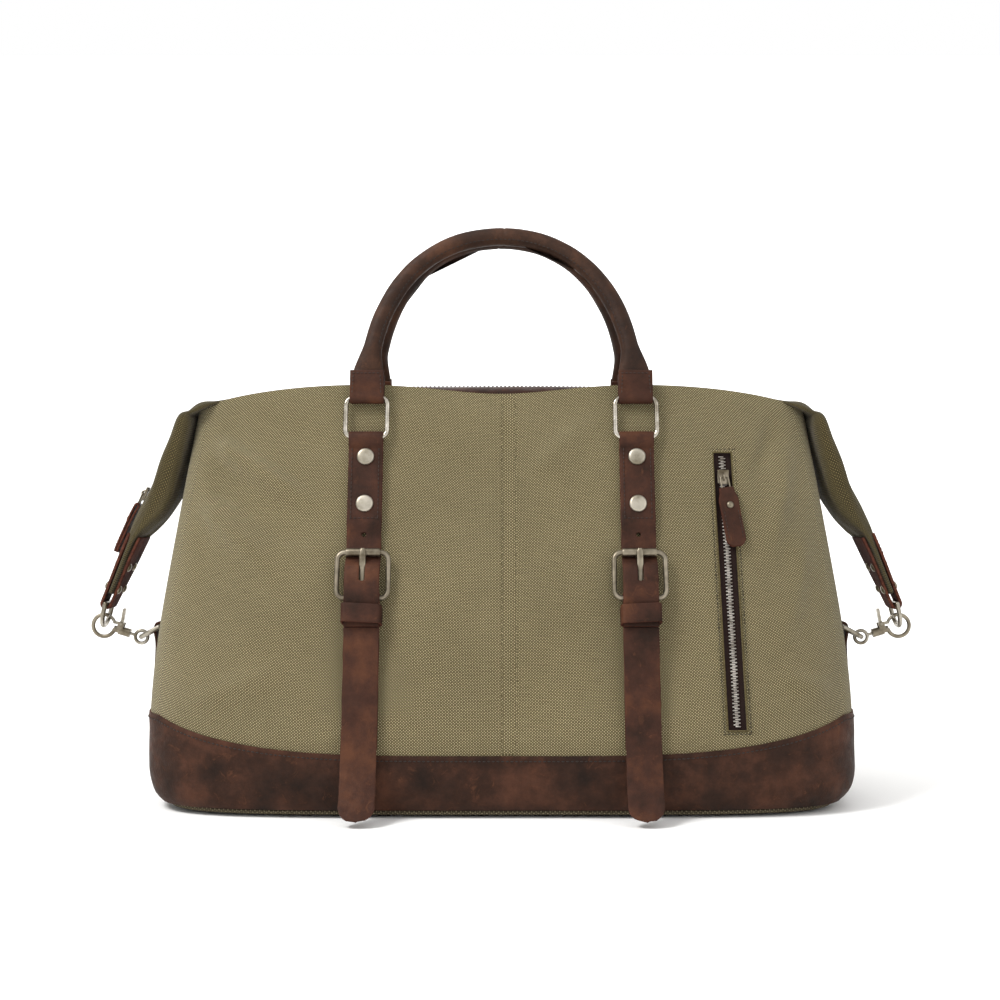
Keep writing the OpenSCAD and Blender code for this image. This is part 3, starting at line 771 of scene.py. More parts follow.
@dataclass(frozen=True)
class WaxedLeather(Finish):
    """Oiled cowhide: cloudy brown with pores, fine creases, and rubbed paler patches."""

    dark: str = "#23140c"
    middle: str = "#382016"
    light: str = "#52311f"
    grain: float = 1.0
    scuff: float = 0.30
    wear: str = "#714a34"

    def paint(self, tree: bpy.types.NodeTree, shader: bpy.types.Node) -> None:
        """Layer clouds, scuffs, creases and pores."""
        body = self.space(tree, Space.OBJECT)
        clouds = add(tree, "ShaderNodeTexNoise", {"Vector": body, "Scale": 26.0, "Detail": 6.0,
                                                  "Roughness": 0.65})
        tone = add(tree, "ShaderNodeValToRGB", {0: clouds.outputs["Fac"]})
        ramp = tone.color_ramp
        ramp.elements[0].position, ramp.elements[0].color = 0.33, linear(self.dark)
        ramp.elements[1].position, ramp.elements[1].color = 0.70, linear(self.light)
        ramp.elements.new(0.50).color = linear(self.middle)
        rubs = add(tree, "ShaderNodeTexNoise", {"Vector": body, "Scale": 75.0, "Detail": 5.0, "Roughness": 0.7,
                                                "Distortion": 1.2})
        rubbed = add(tree, "ShaderNodeMapRange", {"Value": rubs.outputs["Fac"], "From Min": 0.60, "From Max": 0.74,
                                                  "To Min": 0.0, "To Max": self.scuff})
        worn = add(tree, "ShaderNodeMix", {"Factor": rubbed.outputs[0]}, data_type="RGBA")
        plain, rubbed_through = [socket for socket in worn.inputs if socket.type == "RGBA"]
        tree.links.new(tone.outputs["Color"], plain)
        rubbed_through.default_value = linear(self.wear)
        colour = [socket for socket in worn.outputs if socket.type == "RGBA"][0]
        tree.links.new(colour, shader.inputs["Base Color"])
        creases = add(tree, "ShaderNodeTexNoise", {"Vector": body, "Scale": 240.0 * self.grain, "Detail": 6.0,
                                                   "Roughness": 0.75})
        pores = add(tree, "ShaderNodeTexVoronoi", {"Vector": body, "Scale": 800.0 * self.grain},
                    feature="F1")
        relief = add(tree, "ShaderNodeMath", {0: pores.outputs["Distance"], 1: 0.5, 2: creases.outputs["Fac"]},
                     operation="MULTIPLY_ADD")
        surface = add(tree, "ShaderNodeBump", {"Height": relief.outputs[0], "Strength": 0.55,
                                               "Distance": 0.5 * MM})
        tree.links.new(surface.outputs[0], shader.inputs["Normal"])
        gloss = add(tree, "ShaderNodeMapRange", {"Value": rubs.outputs["Fac"], "From Min": 0.3, "From Max": 0.7,
                                                 "To Min": self.roughness - 0.10, "To Max": self.roughness + 0.14})
        tree.links.new(gloss.outputs[0], shader.inputs["Roughness"])


@dataclass(frozen=True)
class PlatedMetal(Finish):
    """Nickel plate: bright on top, tarnished warm in patches, with a fine hand-rubbed grain."""

    bright: str = "#aaa498"
    tarnish: str = "#6b6353"
    patches: float = 60.0

    def paint(self, tree: bpy.types.NodeTree, shader: bpy.types.Node) -> None:
        """Mix plate and tarnish, and scratch the gloss."""
        body = self.space(tree, Space.OBJECT)
        clouds = add(tree, "ShaderNodeTexNoise", {"Vector": body, "Scale": self.patches, "Detail": 5.0,
                                                  "Roughness": 0.6})
        tone = add(tree, "ShaderNodeValToRGB", {0: clouds.outputs["Fac"]})
        ramp = tone.color_ramp
        ramp.elements[0].position, ramp.elements[0].color = 0.36, linear(self.tarnish)
        ramp.elements[1].position, ramp.elements[1].color = 0.62, linear(self.bright)
        tree.links.new(tone.outputs["Color"], shader.inputs["Base Color"])
        grain = add(tree, "ShaderNodeTexNoise", {"Vector": body, "Scale": 900.0, "Detail": 3.0})
        gloss = add(tree, "ShaderNodeMapRange", {"Value": grain.outputs["Fac"], "From Min": 0.3, "From Max": 0.7,
                                                 "To Min": self.roughness - 0.08, "To Max": self.roughness + 0.10})
        tree.links.new(gloss.outputs[0], shader.inputs["Roughness"])
        surface = add(tree, "ShaderNodeBump", {"Height": grain.outputs["Fac"], "Strength": 0.12,
                                               "Distance": 0.1 * MM})
        tree.links.new(surface.outputs[0], shader.inputs["Normal"])


@dataclass(frozen=True)
class Fibre(Finish):
    """Thread, raw hide edges and tape: one colour broken up by fibres."""

    light: str = "#8f8365"
    dark: str = "#5d5238"
    scale: float = 500.0
    stretch: tuple[float, float, float] = (1.0, 1.0, 1.0)

    def paint(self, tree: bpy.types.NodeTree, shader: bpy.types.Node) -> None:
        """Break the colour with fine noise."""
        body = self.space(tree, Space.OBJECT)
        run = add(tree, "ShaderNodeMapping", {"Vector": body, "Scale": self.stretch})
        fibres = add(tree, "ShaderNodeTexNoise", {"Vector": run.outputs[0], "Scale": self.scale, "Detail": 4.0,
                                                  "Roughness": 0.7})
        tone = add(tree, "ShaderNodeValToRGB", {0: fibres.outputs["Fac"]})
        ramp = tone.color_ramp
        ramp.elements[0].position, ramp.elements[0].color = 0.35, linear(self.dark)
        ramp.elements[1].position, ramp.elements[1].color = 0.66, linear(self.light)
        tree.links.new(tone.outputs["Color"], shader.inputs["Base Color"])
        surface = add(tree, "ShaderNodeBump", {"Height": fibres.outputs["Fac"], "Strength": 0.6,
                                               "Distance": 0.3 * MM})
        tree.links.new(surface.outputs[0], shader.inputs["Normal"])


CANVAS = WovenCloth("washed_duck_canvas", "canvas", roughness=0.92, specular=0.15, sheen=0.12)
# Same duck canvas as CANVAS in darker colours: painted shade for the folded ears, which hang in shadow.
SHADED_EAR_CANVAS = WovenCloth("painted_shade_duck_canvas", "canvas", roughness=0.92, specular=0.15, sheen=0.1,
                        light="#756843", middle="#494027", dark="#241e0f")
LEATHER = WaxedLeather("waxed_cowhide", "leather", roughness=0.62, specular=0.15)
BAND_LEATHER = WaxedLeather("rubbed_base_cowhide", "leather", roughness=0.62, specular=0.15, dark="#1c1009",
                            middle="#301c12", light="#4c2e20", scuff=0.30)
TAB_LEATHER = WaxedLeather("folded_end_cowhide", "leather", roughness=0.8, specular=0.04, dark="#29130c",
                           middle="#42221a", light="#5a3125", scuff=0.2)
HANDLE_LEATHER = WaxedLeather("handled_cowhide", "leather", roughness=0.58, specular=0.18, dark="#1f120b",
                              middle="#311e13", light="#4c3020", scuff=0.30)
RAW_EDGE = Fibre("raw_hide_edge", "leather", roughness=0.85, specular=0.15, light="#5f3527", dark="#371e17",
                 scale=420.0)
NICKEL = PlatedMetal("antique_nickel", "nickel", roughness=0.30, metallic=1.0)
DULL_NICKEL = PlatedMetal("tarnished_nickel", "nickel", roughness=0.38, metallic=1.0, bright="#958c7b",
                          tarnish="#5a5142")
BRIGHT_NICKEL = PlatedMetal("polished_nickel", "bright_nickel", roughness=0.20, metallic=1.0, bright="#cdc7bb",
                            tarnish="#8c8475")
RIVET_NICKEL = PlatedMetal("brushed_nickel", "nickel", roughness=0.42, metallic=1.0, bright="#b5aea0",
                           tarnish="#7e7665")
ZIP_METAL = PlatedMetal("zip_gunmetal", "zip_metal", roughness=0.34, metallic=1.0, bright="#d2ccc4",
                        tarnish="#8d857b", patches=200.0)
ZIP_TAPE = WovenCloth("zip_tape_cotton", "zip_tape", roughness=0.9, specular=0.2, light="#44312c",
                      middle="#2e1f1c", dark="#150d0b", pitch=(0.7, 0.6), wash=0.1)
LINING = WovenCloth("lining_cotton", "lining_cloth", roughness=0.95, specular=0.1, light="#a0937a",
                    middle="#8b7f66", dark="#665c47", pitch=(0.9, 0.8), wash=0.12)
BASE_CLOTH = WovenCloth("black_base_duck", "base_cloth", roughness=0.9, specular=0.2, light="#2a211a",
                        middle="#1c1510", dark="#0b0805", pitch=(1.0, 0.9), wash=0.1)
PIPING = WovenCloth("bias_cut_piping", "canvas", roughness=0.9, specular=0.15, light="#8a8067",
                    middle="#5a5140", dark="#2a2418", pitch=(1.9, 1.6), wash=0.1)
KHAKI_THREAD = Fibre("khaki_thread", "canvas", roughness=0.8, light="#6f6442", dark="#332c19", scale=900.0)
DRAB_THREAD = Fibre("drab_thread", "canvas", roughness=0.8, light="#3f3923", dark="#1f1b10", scale=900.0)
CANVAS_FOLD = Fibre("turned_canvas_edge", "canvas", roughness=0.92, specular=0.1, light="#655b3f", dark="#3d3623",
                    scale=700.0)
HIDE = (LEATHER, RAW_EDGE)
BROWN_THREAD = Fibre("brown_thread", "leather", roughness=0.8, light="#3b2820", dark="#1b110c", scale=900.0)
DARK_THREAD = Fibre("dark_thread", "leather", roughness=0.8, light="#2a1d16", dark="#130c08", scale=900.0)
BOARD = Fibre("pressed_board", "board", roughness=0.9, light="#6b5a45", dark="#4c3e2e", scale=300.0)


def dress(piece: bpy.types.Object, *finishes: Finish) -> bpy.types.Object:
    """Give a piece its finishes, one for each slot.

    Args:
        piece: The piece or a CAD node.
        finishes: In slot order; a piece with fewer slots than finishes is given the rest.

    Returns:
        The piece.
    """
    slots = piece.data.materials
    for i, finish in enumerate(finishes):
        if i < len(slots):
            slots[i] = finish.material()
        else:
            slots.append(finish.material())
    for i in range(len(finishes), len(slots)):
        slots[i] = finishes[-1].material()
    return piece


def place(piece: bpy.types.Object, body: str, skin: Finish | tuple[Finish, ...], *nodes: str) -> bpy.types.Object:
    """Dress a piece, put it on its body, and let it stand for CAD nodes.

    Args:
        piece: The piece.
        body: The CAD body it moves with.
        skin: Its finish, or one finish for each slot.
        nodes: The CAD nodes it stands for.

    Returns:
        The piece.
    """
    finishes = skin if isinstance(skin, tuple) else (skin,)
    dress(piece, *finishes)
    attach(piece, body)
    if nodes:
        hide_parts(*nodes)
    LOG.info("%s rides %s (%d faces)", piece.name, body, len(piece.data.polygons))
    return piece


def keep_node(name: str, *finishes: Finish) -> bpy.types.Object:
    """Dress a CAD node that keeps its own shape."""
    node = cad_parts[name]
    node = node if isinstance(node, bpy.types.Object) else bpy.data.objects[name]
    for i in range(len(node.data.materials)):
        node.data.materials[i] = finishes[min(i, len(finishes) - 1)].material()
    if not node.data.materials:
        node.data.materials.append(finishes[0].material())
    LOG.info("node %s keeps its shape", name)
    return node


# ---- Frames that parts are set in ---------------------------------------------------------

OUT_FRONT = Vector((0, -math.cos(SHAPE.slope), math.sin(SHAPE.slope)))
HANDLE_LEAN = math.radians(15.7)
HANDLE_PIVOT = on_front(0, 5.4, 16.5)
EAR_LEAN = math.radians(24.1)
EAR_CORNER = Vector((0.256, 0, 0.308))
EAR_LENGTH = 166.5


def on_handle(x: float, out: float, up: float) -> Vector:
    """Place a point in the front handle's plane, in millimetres from its foot."""
    turn = Matrix.Rotation(-HANDLE_LEAN, 3, "X")
    return HANDLE_PIVOT + turn @ Vector((x * MM, -out * MM, up * MM))


def on_right_ear(y: float, out: float, up: float) -> Vector:
    """Place a point on the right ear, in millimetres from the top corner."""
    turn = Matrix.Rotation(-EAR_LEAN, 3, "Y")
    return EAR_CORNER + turn @ Vector((out * MM, y * MM, up * MM))


def mirrored(where: Callable[..., Vector]) -> Callable[..., Vector]:
    """Return a placing function mirrored to the left side."""
    def left(*args: float) -> Vector:
        """Return the point with X turned over."""
        p = where(*args)
        return Vector((-p.x, p.y, p.z))

    return left


def zip_frame() -> Matrix:
    """Return the pocket zip's place: its middle on the front, local -Y out."""
    z = 0.1725
    y = SHAPE.front(0.177 / SHAPE.half_w(z), z).y
    return (Matrix.Translation((0.177, y, z)) @ Matrix.Rotation(math.radians(3.6), 4, "Z")
            @ Matrix.Rotation(-SHAPE.slope, 4, "X"))


class Girth:
    """Even steps round the bag's foot, for pieces that go all the way round."""

    def __init__(self, shape: BagShape, samples: int = 4000) -> None:
        """Measure the way round once."""
        self.shape = shape
        self.turns = [math.tau * i / samples for i in range(samples + 1)]
        points = [self.at_angle(a, 0.03) for a in self.turns]
        self.lengths = [0.0]
        for a, b in zip(points, points[1:]):
            self.lengths.append(self.lengths[-1] + (b - a).length)

    def at_angle(self, angle: float, z: float, inset: float = 0.0) -> Vector:
        """Return the wall's point at a polar angle and height."""
        c, s = math.cos(angle), math.sin(angle)
        n = self.shape.power
        r = (abs(c) ** n + abs(s) ** n) ** (-1 / n)
        turn_in = 1 - math.sqrt(1 - (0.985 * clamp01((0.034 - z) / 0.030)) ** 2)
        return Vector((r * c * (self.shape.half_w(z) - inset - 0.017 * turn_in),
                       r * s * (self.shape.half_d(z) - inset - 0.005 * turn_in), z))

    @property
    def length(self) -> float:
        """Return the distance round the foot."""
        return self.lengths[-1]

    def angle(self, share: float) -> float:
        """Return the polar angle at a share of the way round."""
        want = clamp01(share) * self.length
        low, high = 0, len(self.lengths) - 1
        while high - low > 1:
            mid = (low + high) // 2
            if self.lengths[mid] <= want:
                low = mid
            else:
                high = mid
        t = (want - self.lengths[low]) / max(1e-12, self.lengths[high] - self.lengths[low])
        return mix(self.turns[low], self.turns[high], t)

    def at(self, share: float, z: float, inset: float = 0.0) -> Vector:
        """Return the point at a share of the way round, starting at the middle of the right end."""
        return self.at_angle(self.angle(share), z, inset)

    def seam_z(self, share: float) -> float:
        """Return the band's top edge at a share of the way round."""
        p = self.at(share, 0.05)
        return self.shape.seam_z(p.x / self.shape.half_w(0.05))


GIRTH = Girth(SHAPE)


def outward(p: Vector) -> Vector:
    """Return the level outward direction of the bag at a point."""
    n = SHAPE.power
    w, d = SHAPE.half_w(p.z), SHAPE.half_d(p.z)
    x = math.copysign(abs(p.x / w) ** (n - 1) / w, p.x)
    y = math.copysign(abs(p.y / d) ** (n - 1) / d, p.y)
    return Vector((x, y, 0.0)).normalized()


# ---- Pieces ------------------------------------------------------------------------------------


@dataclass
class CanvasBody:
    """The four canvas walls and the felled seams."""

    thickness: float = 1.5
    seam_width: float = 13.0

    def wall(self, name: str, node: str, side: int) -> bpy.types.Object:
        """Build the front (side -1) or rear (side 1) canvas."""
        def point(u: float, v: float) -> Vector:
            """Return the draped wall at u and v."""
            across = mix(-SHAPE.seam_u, SHAPE.seam_u, u)
            low, high = SHAPE.seam_z(across) - 0.003, SHAPE.edge_z(across)
            p = SHAPE.front(across, mix(low, high, v))
            offset = DRAPE.wall(side, p.x, p.z)
            p += (outward(p) * math.cos(SHAPE.slope) + Vector((0, 0, math.sin(SHAPE.slope)))) * offset
            return p if side < 0 else Vector((-p.x, -p.y, p.z))

        piece = wrapped(name, 200, 104, point, (0.55, 0.29))
        thicken(piece, self.thickness * MM)
        if side < 0:
            self.cut_pocket(piece)
        return place(shade(piece, 60), "bag", CANVAS, node)

    @staticmethod
    def cut_pocket(piece: bpy.types.Object) -> None:
        """Cut the window that the pocket zip sits behind."""
        deselect()
        bpy.ops.mesh.primitive_cube_add(size=1)
        cutter = bpy.context.object
        cutter.data.transform(zip_frame() @ Matrix.Diagonal((0.0145, 0.030, 0.221, 1)))
        modifier(piece, "BOOLEAN", operation="DIFFERENCE", object=cutter, solver="EXACT")
        bpy.data.objects.remove(cutter)

    def gusset(self, name: str, node: str, side: int) -> bpy.types.Object:
        """Build one end wall."""
        def point(u: float, v: float) -> Vector:
            """Return the sunken end wall at u and v."""
            w = mix(-SHAPE.seam_w, SHAPE.seam_w, u)
            p = SHAPE.end(w, mix(0.072, 0.319, v))
            p += outward(p) * DRAPE.end(p.y, p.z)
            return p if side > 0 else Vector((-p.x, -p.y, p.z))

        piece = wrapped(name, 60, 84, point, (0.16, 0.25))
        thicken(piece, self.thickness * MM)
        return place(shade(piece, 60), "bag", CANVAS, node)

    def centre_seam(self, name: str, side: int) -> bpy.types.Object:
        """Lay the felled seam's doubled strip down the middle."""
        def point(u: float, v: float) -> Vector:
            """Return the seam's surface, its long edges tucked in."""
            x = mix(-1.0, self.seam_width, u) * MM
            low, high = SHAPE.band_h + 0.001, SHAPE.edge_z(0.02) - 0.0004
            z = mix(low, high, v)
            p = SHAPE.front(x / SHAPE.half_w(z), z)
            lift = 0.75 * (1 - abs(2 * u - 1) ** 6) - 0.45
            pucker = 0.16 * math.sin(z / 0.0034 * math.tau) * abs(2 * u - 1)
            return p + OUT_FRONT * (DRAPE.wall(side, p.x, p.z) + (lift + pucker) * MM)

        piece = wrapped(name, 10, 240, point if side < 0 else turned(point), (self.seam_width * MM, 0.28))
        thicken(piece, 0.7 * MM)
        return place(shade(piece, 60), "bag", CANVAS)

    def seam_stitches(self, name: str, side: int) -> bpy.types.Object:
        """Sew the felled seam's two rows."""
        rows = []
        for x in (0.0008, 0.0112):
            row = []
            for i in range(90):
                z = mix(SHAPE.band_h + 0.002, SHAPE.edge_z(0.02) - 0.003, i / 89)
                p = SHAPE.front(x / SHAPE.half_w(z), z)
                row.append(p + OUT_FRONT * (DRAPE.wall(side, p.x, p.z) + 0.22 * MM))
            rows.append(row if side < 0 else [Vector((-p.x, -p.y, p.z)) for p in row])
        way = OUT_FRONT if side < 0 else Vector((0, -OUT_FRONT.y, OUT_FRONT.z))
        piece = stitches(name, rows, lambda p: way, pitch=3.2, thread=0.34, lift=0.1)
        return place(piece, "bag", KHAKI_THREAD)

    def build(self) -> None:
        """Build every wall and seam."""
        self.wall("front_wall", "front_canvas", -1)
        self.wall("rear_wall", "rear_canvas", 1)
        self.gusset("right_wall", "gusset_right", 1)
        self.gusset("left_wall", "gusset_left", -1)
        for name, side in (("front", -1), ("rear", 1)):
            self.centre_seam(f"{name}_centre_seam", side)
            self.seam_stitches(f"{name}_centre_stitches", side)


@dataclass
class LeatherBase:
    """The leather band round the foot, its stitching, the piping, and the bottom cloth."""

    thickness: float = 1.6
    proud: float = 1.5
    foot: float = 6.4
    piping: float = 2.0

    def drawn(self, share: float, z: float, out: float = 0.0) -> Vector:
        """Return a point on the band, a little uneven as soft hide is."""
        p = GIRTH.at(share, z)
        soft = 2.0 * noise.noise(p * 11) + 0.9 * noise.noise(p * 31)
        rim = ease((z - self.foot * MM) / 0.012) * ease((GIRTH.seam_z(share) - z) / 0.016)
        return p + outward(p) * ((out + soft * rim) * MM)

    def band(self) -> bpy.types.Object:
        """Wrap the band round the foot."""
        def point(u: float, v: float) -> Vector:
            """Return the band's outside."""
            top = GIRTH.seam_z(u)
            edge = -0.9 * (1 - ease(v / 0.12)) - 0.35 * (1 - ease((1 - v) / 0.05))
            return self.drawn(u, mix(self.foot * MM, top, v), self.proud + edge)

        piece = wrapped("leather_band", 520, 22, point, (GIRTH.length, 0.05))
        merge(piece)
        piece.data.materials.append(None)
        piece.data.materials.append(None)
        thicken(piece, self.thickness * MM, rim=1)
        return place(shade(piece, 50), "bag", (BAND_LEATHER, RAW_EDGE), "base_band")

    def band_stitches(self) -> bpy.types.Object:
        """Sew the row under the band's top edge."""
        row = [self.drawn(i / 640, GIRTH.seam_z(i / 640) - 0.0040, self.proud + 0.05) for i in range(641)]
        piece = stitches("band_stitches", [row], outward, pitch=3.5, thread=0.5, lift=0.1)
        return place(piece, "bag", DARK_THREAD)

    def band_piping(self) -> bpy.types.Object:
        """Run the covered cord under the band."""
        sides, count = 12, 560
        radius = self.piping * MM

        def point(u: float, v: float) -> Vector:
            """Return the cord's skin, u along and v round it."""
            angle = math.tau * v
            p = GIRTH.at(u, 0.0, 3.6 * MM)
            way = outward(p)
            rise = Vector((0, 0, radius * math.sin(angle)))
            return Vector((p.x, p.y, 4.1 * MM)) + way * radius * math.cos(angle) + rise

        piece = wrapped("foot_piping", count, sides, point, (GIRTH.length, math.tau * radius))
        merge(piece)
        recalculate(piece)
        return place(shade(piece, 60), "bag", PIPING, "base_piping")

    def bottom(self) -> bpy.types.Object:
        """Lay the black cloth underneath, its rim turned up to the piping."""
        deselect()
        bpy.ops.mesh.primitive_circle_add(vertices=280, radius=1, fill_type="NOTHING")
        piece = bpy.context.object
        piece.name = "bottom_cloth"
        for i, vertex in enumerate(piece.data.vertices):
            p = GIRTH.at(i / 280, 0.0, 5.2 * MM)
            vertex.co = (p.x, p.y, 3.0 * MM)
        bpy.ops.object.mode_set(mode="EDIT")
        bpy.ops.mesh.select_all(action="SELECT")
        for scale, lift in ((0.988, -2.1), (0.975, -0.8)):
            bpy.ops.mesh.extrude_edges_move()
            bpy.ops.transform.resize(value=(scale, scale ** 2.2, 1))
            bpy.ops.transform.translate(value=(0, 0, lift * MM))
        for scale in (0.75, 0.45, 0.15):
            bpy.ops.mesh.extrude_edges_move()
            bpy.ops.transform.resize(value=(scale, scale, 1))
        bpy.ops.mesh.edge_face_add()
        bpy.ops.mesh.select_all(action="SELECT")
        bpy.ops.mesh.normals_make_consistent(inside=False)
        bpy.ops.mesh.uv_texture_add()
        bpy.ops.object.mode_set(mode="OBJECT")
        mesh = piece.data
        if mesh.polygons[0].normal.z > 0.2 or mesh.polygons[-1].normal.z > 0.2:
            mesh.flip_normals()
        uv = mesh.uv_layers.active.data
        for loop in mesh.loops:
            co = mesh.vertices[loop.vertex_index].co
            uv[loop.index].uv = (co.x, co.y)
        thicken(piece, 0.9 * MM)
        return place(shade(piece, 60), "bag", BASE_CLOTH, "bottom_panel")

    def board(self) -> bpy.types.Object:
        """Lay the stiffening board on the bottom cloth, clear of the rounded foot."""
        deselect()
        bpy.ops.mesh.primitive_circle_add(vertices=240, radius=1, fill_type="NGON")
        piece = bpy.context.object
        piece.name = "stiffening_board"
        for i, vertex in enumerate(piece.data.vertices):
            p = GIRTH.at(i / 240, 0.0, 10 * MM)
            vertex.co = (p.x, p.y, 5.6 * MM)
        if piece.data.polygons[0].normal.z < 0:
            piece.data.flip_normals()
        thicken(piece, 2.4 * MM)
        return place(piece, "bag", BOARD, "bottom_board")

    def build(self) -> None:
        """Build the base."""
        self.band()
        self.band_stitches()
        self.band_piping()
        self.bottom()
        self.board()


class Side(Enum):
    """Left and right as seen from the front."""

    LEFT = "left"
    RIGHT = "right"

    @property
    def sign(self) -> int:
        """Return -1 for left and 1 for right."""
        return -1 if self is Side.LEFT else 1


def on_ear(side: Side) -> Callable[..., Vector]:
    """Return the function that places points on one side's ear."""
    return on_right_ear if side is Side.RIGHT else mirrored(on_right_ear)


def fold_line(front: Sequence[Sequence[float]], back: Sequence[Sequence[float]], centre: tuple[float, float],
              radius: float, over: bool = True) -> list[Vector]:
    """Join a front and a back layer round a bar.

    Args:
        front: Points from the free end to the bar, as (out, up).
        back: Points from the bar to the free end.
        centre: The bar's middle.
        radius: The fold's middle radius.
        over: Whether the strap passes over the bar, or else under it.

    Returns:
        The whole line.
    """
    way = 1 if over else -1
    arc = [Vector((centre[0] + radius * math.cos(math.pi * k / 12),
                   centre[1] + way * radius * math.sin(math.pi * k / 12)))
           for k in range(13)]
    return smooth_line(front, 5)[:-1] + arc + smooth_line(back, 5)[1:]


@dataclass
class FrontStraps:
    """The two straps down the front, with their buckles, keepers, rivets and tails."""

    width: float = 27.0
    thickness: float = 2.6
    chape: float = 1.9
    front: tuple = ((9.55, -169.6), (9.8, -165), (11.2, -158), (12.8, -152), (13.9, -146.8), (14.1, -137),
                    (13.7, -129),
                    (11.8, -123), (7.4, -118.5), (2.9, -113), (1.9, -109), (1.9, -98), (3.4, -90), (4.3, -82),
                    (4.4, -30), (7.2, -23), (8.95, -16.5))
    back: tuple = ((1.85, -16.5), (1.7, -40), (1.7, -86))
    tail: tuple = ((9.4, -170.3), (9.1, -175), (8.0, -190), (6.4, -215), (6.2, -262), (10.4, -292),
                   (19.5, -317.0))

    @staticmethod
    def cut(piece: bpy.types.Object, x: float, out: float, up: float, size: tuple[float, float]) -> None:
        """Cut a rounded hole through a strap."""
        deselect()
        bpy.ops.mesh.primitive_cylinder_add(vertices=24, radius=size[0] / 2 * MM, depth=0.02)
        cutter = bpy.context.object
        half = (size[1] - size[0]) / 2 * MM
        for vertex in cutter.data.vertices:
            vertex.co.y += math.copysign(half, vertex.co.y) if half > 0 else 0
        cutter.data.transform(facing(on_front(x, out, up), Vector((1, 0, 0)), OUT_FRONT))
        modifier(piece, "BOOLEAN", operation="DIFFERENCE", object=cutter, solver="EXACT")
        bpy.data.objects.remove(cutter)

    def upper(self, side: Side) -> bpy.types.Object:
        """Fold the upper strap round its ring and run it through the buckle."""
        x = side.sign * STRAP_X
        line = fold_line(self.front, self.back, (5.4, -16.5), 3.55)
        piece = strip(f"upper_strap_{side.value}", line, self.width, self.thickness, on_front, x, cols=8,
                      cup=0.25)
        self.cut(piece, x, 8, -124.5, (4.6, 21))
        self.cut(piece, x, 3, -95.5, (3.6, 3.6))
        place(piece, "bag", HIDE)
        return piece

    def edge_rows(self, side: Side) -> bpy.types.Object:
        """Sew the upper strap's edges and the box above the buckle."""
        x = side.sign * STRAP_X
        out = 4.4 + self.thickness / 2
        rows = []
        for e in (-1, 1):
            rows.append([on_front(x + e * 10.6, mix(out + 0.9, out, ease(i / 6)), mix(-27, -82, i / 30))
                         for i in range(31)])
        rows.append([on_front(mix(x - 10.6, x + 10.6, i / 8), out - 0.1, -82.7) for i in range(9)])
        piece = stitches(f"strap_stitches_{side.value}", rows, lambda p: OUT_FRONT, pitch=3.4, thread=0.42,
                         lift=0.1)
        return place(piece, "bag", BROWN_THREAD)

    def rivets(self, side: Side) -> bpy.types.Object:
        """Turn the two domed rivets."""
        parts = []
        for up in (-32.4, -70.8):
            part = turned_disc("rivet", ((0, 0.00195), (0.0030, 0.0019), (0.0050, 0.00175), (0.0060, 0.0015),
                                         (0.0066, 0.0010), (0.0069, 0.0003), (0.0069, -0.0006), (0, -0.0006)), 40)
            part.data.transform(facing(on_front(side.sign * STRAP_X, 5.7, up), Vector((1, 0, 0)), OUT_FRONT))
            parts.append(part)
        piece = join(f"strap_rivets_{side.value}", parts)
        return place(piece, "bag", RIVET_NICKEL)

    def lower(self, side: Side) -> bpy.types.Object:
        """Fold the buckle's own strap round the foot of the frame."""
        x = side.sign * STRAP_X
        top_front = [(4.9, -176), (5.0, -164), (6.2, -158), (8.6, -152), (10.7, -146.8)]
        back = [(4.1, -146.8), (3.5, -156), (3.0, -177), (2.0, -190), (1.4, -204), (1.4, -262)]
        line = fold_line(top_front, back, (7.4, -146.8), 3.3)
        piece = strip(f"lower_strap_{side.value}", line, self.width, self.chape, on_front, x)
        self.cut(piece, x, 7.4, -144, (6.0, 16))
        return place(piece, "bag", HIDE, f"lower_strap_{side.value}")

    def tail_strap(self, side: Side) -> bpy.types.Object:
        """Hang the loose tail below the keeper."""
        x = side.sign * STRAP_X
        line = smooth_line(self.tail, 6)
        piece = strip(f"tail_{side.value}", line, self.width - 0.2, self.thickness, on_front, x, cols=16, tip=13.5,
                      cup=0.35)
        for vertex in piece.data.vertices:
            low = ease((0.075 - vertex.co.z) / 0.05)
            ragged = 0.5 * noise.noise(vertex.co * 260) + 0.5 * noise.noise(vertex.co * 700)
            vertex.co.z += ragged * low * MM
            vertex.co.x += 0.35 * noise.noise(vertex.co * 190 + Vector((3, 1, 2))) * MM
            vertex.co.y += (1.2 * noise.noise(vertex.co * 24) + 0.3) * low * MM
        body = f"strap_tail_{side.value}"
        place(piece, body, HIDE, body)
        return piece

    def frame(self, side: Side) -> bpy.types.Object:
        """Bend the buckle's rectangular frame."""
        x = side.sign * STRAP_X
        route = [on_front(x + a, 7.4, -128.8 + b) for a, b in rounded_loop(19.8, 18, 6)]
        piece = tube(f"buckle_{side.value}", route, 2.0 * MM, closed=True, sides=6)
        recalculate(piece)
        return place(piece, "bag", DULL_NICKEL, f"buckle_frame_{side.value}")

    def roller(self, side: Side) -> bpy.types.Object:
        """Turn the roller tube, its ends rolled in."""
        piece = turned_disc(f"roller_{side.value}", ((0.0022, -0.0132), (0.0028, -0.0134), (0.0032, -0.0130),
                                                     (0.0033, -0.0125), (0.0033, 0.0125), (0.0032, 0.0130),
                                                     (0.0028, 0.0134), (0.0022, 0.0132), (0.0022, -0.0132)), 32)
        piece.data.transform(facing(on_front(side.sign * STRAP_X, 7.4, -110.8), OUT_FRONT, Vector((1, 0, 0))))
        return place(piece, f"roller_{side.value}", DULL_NICKEL, f"roller_{side.value}")

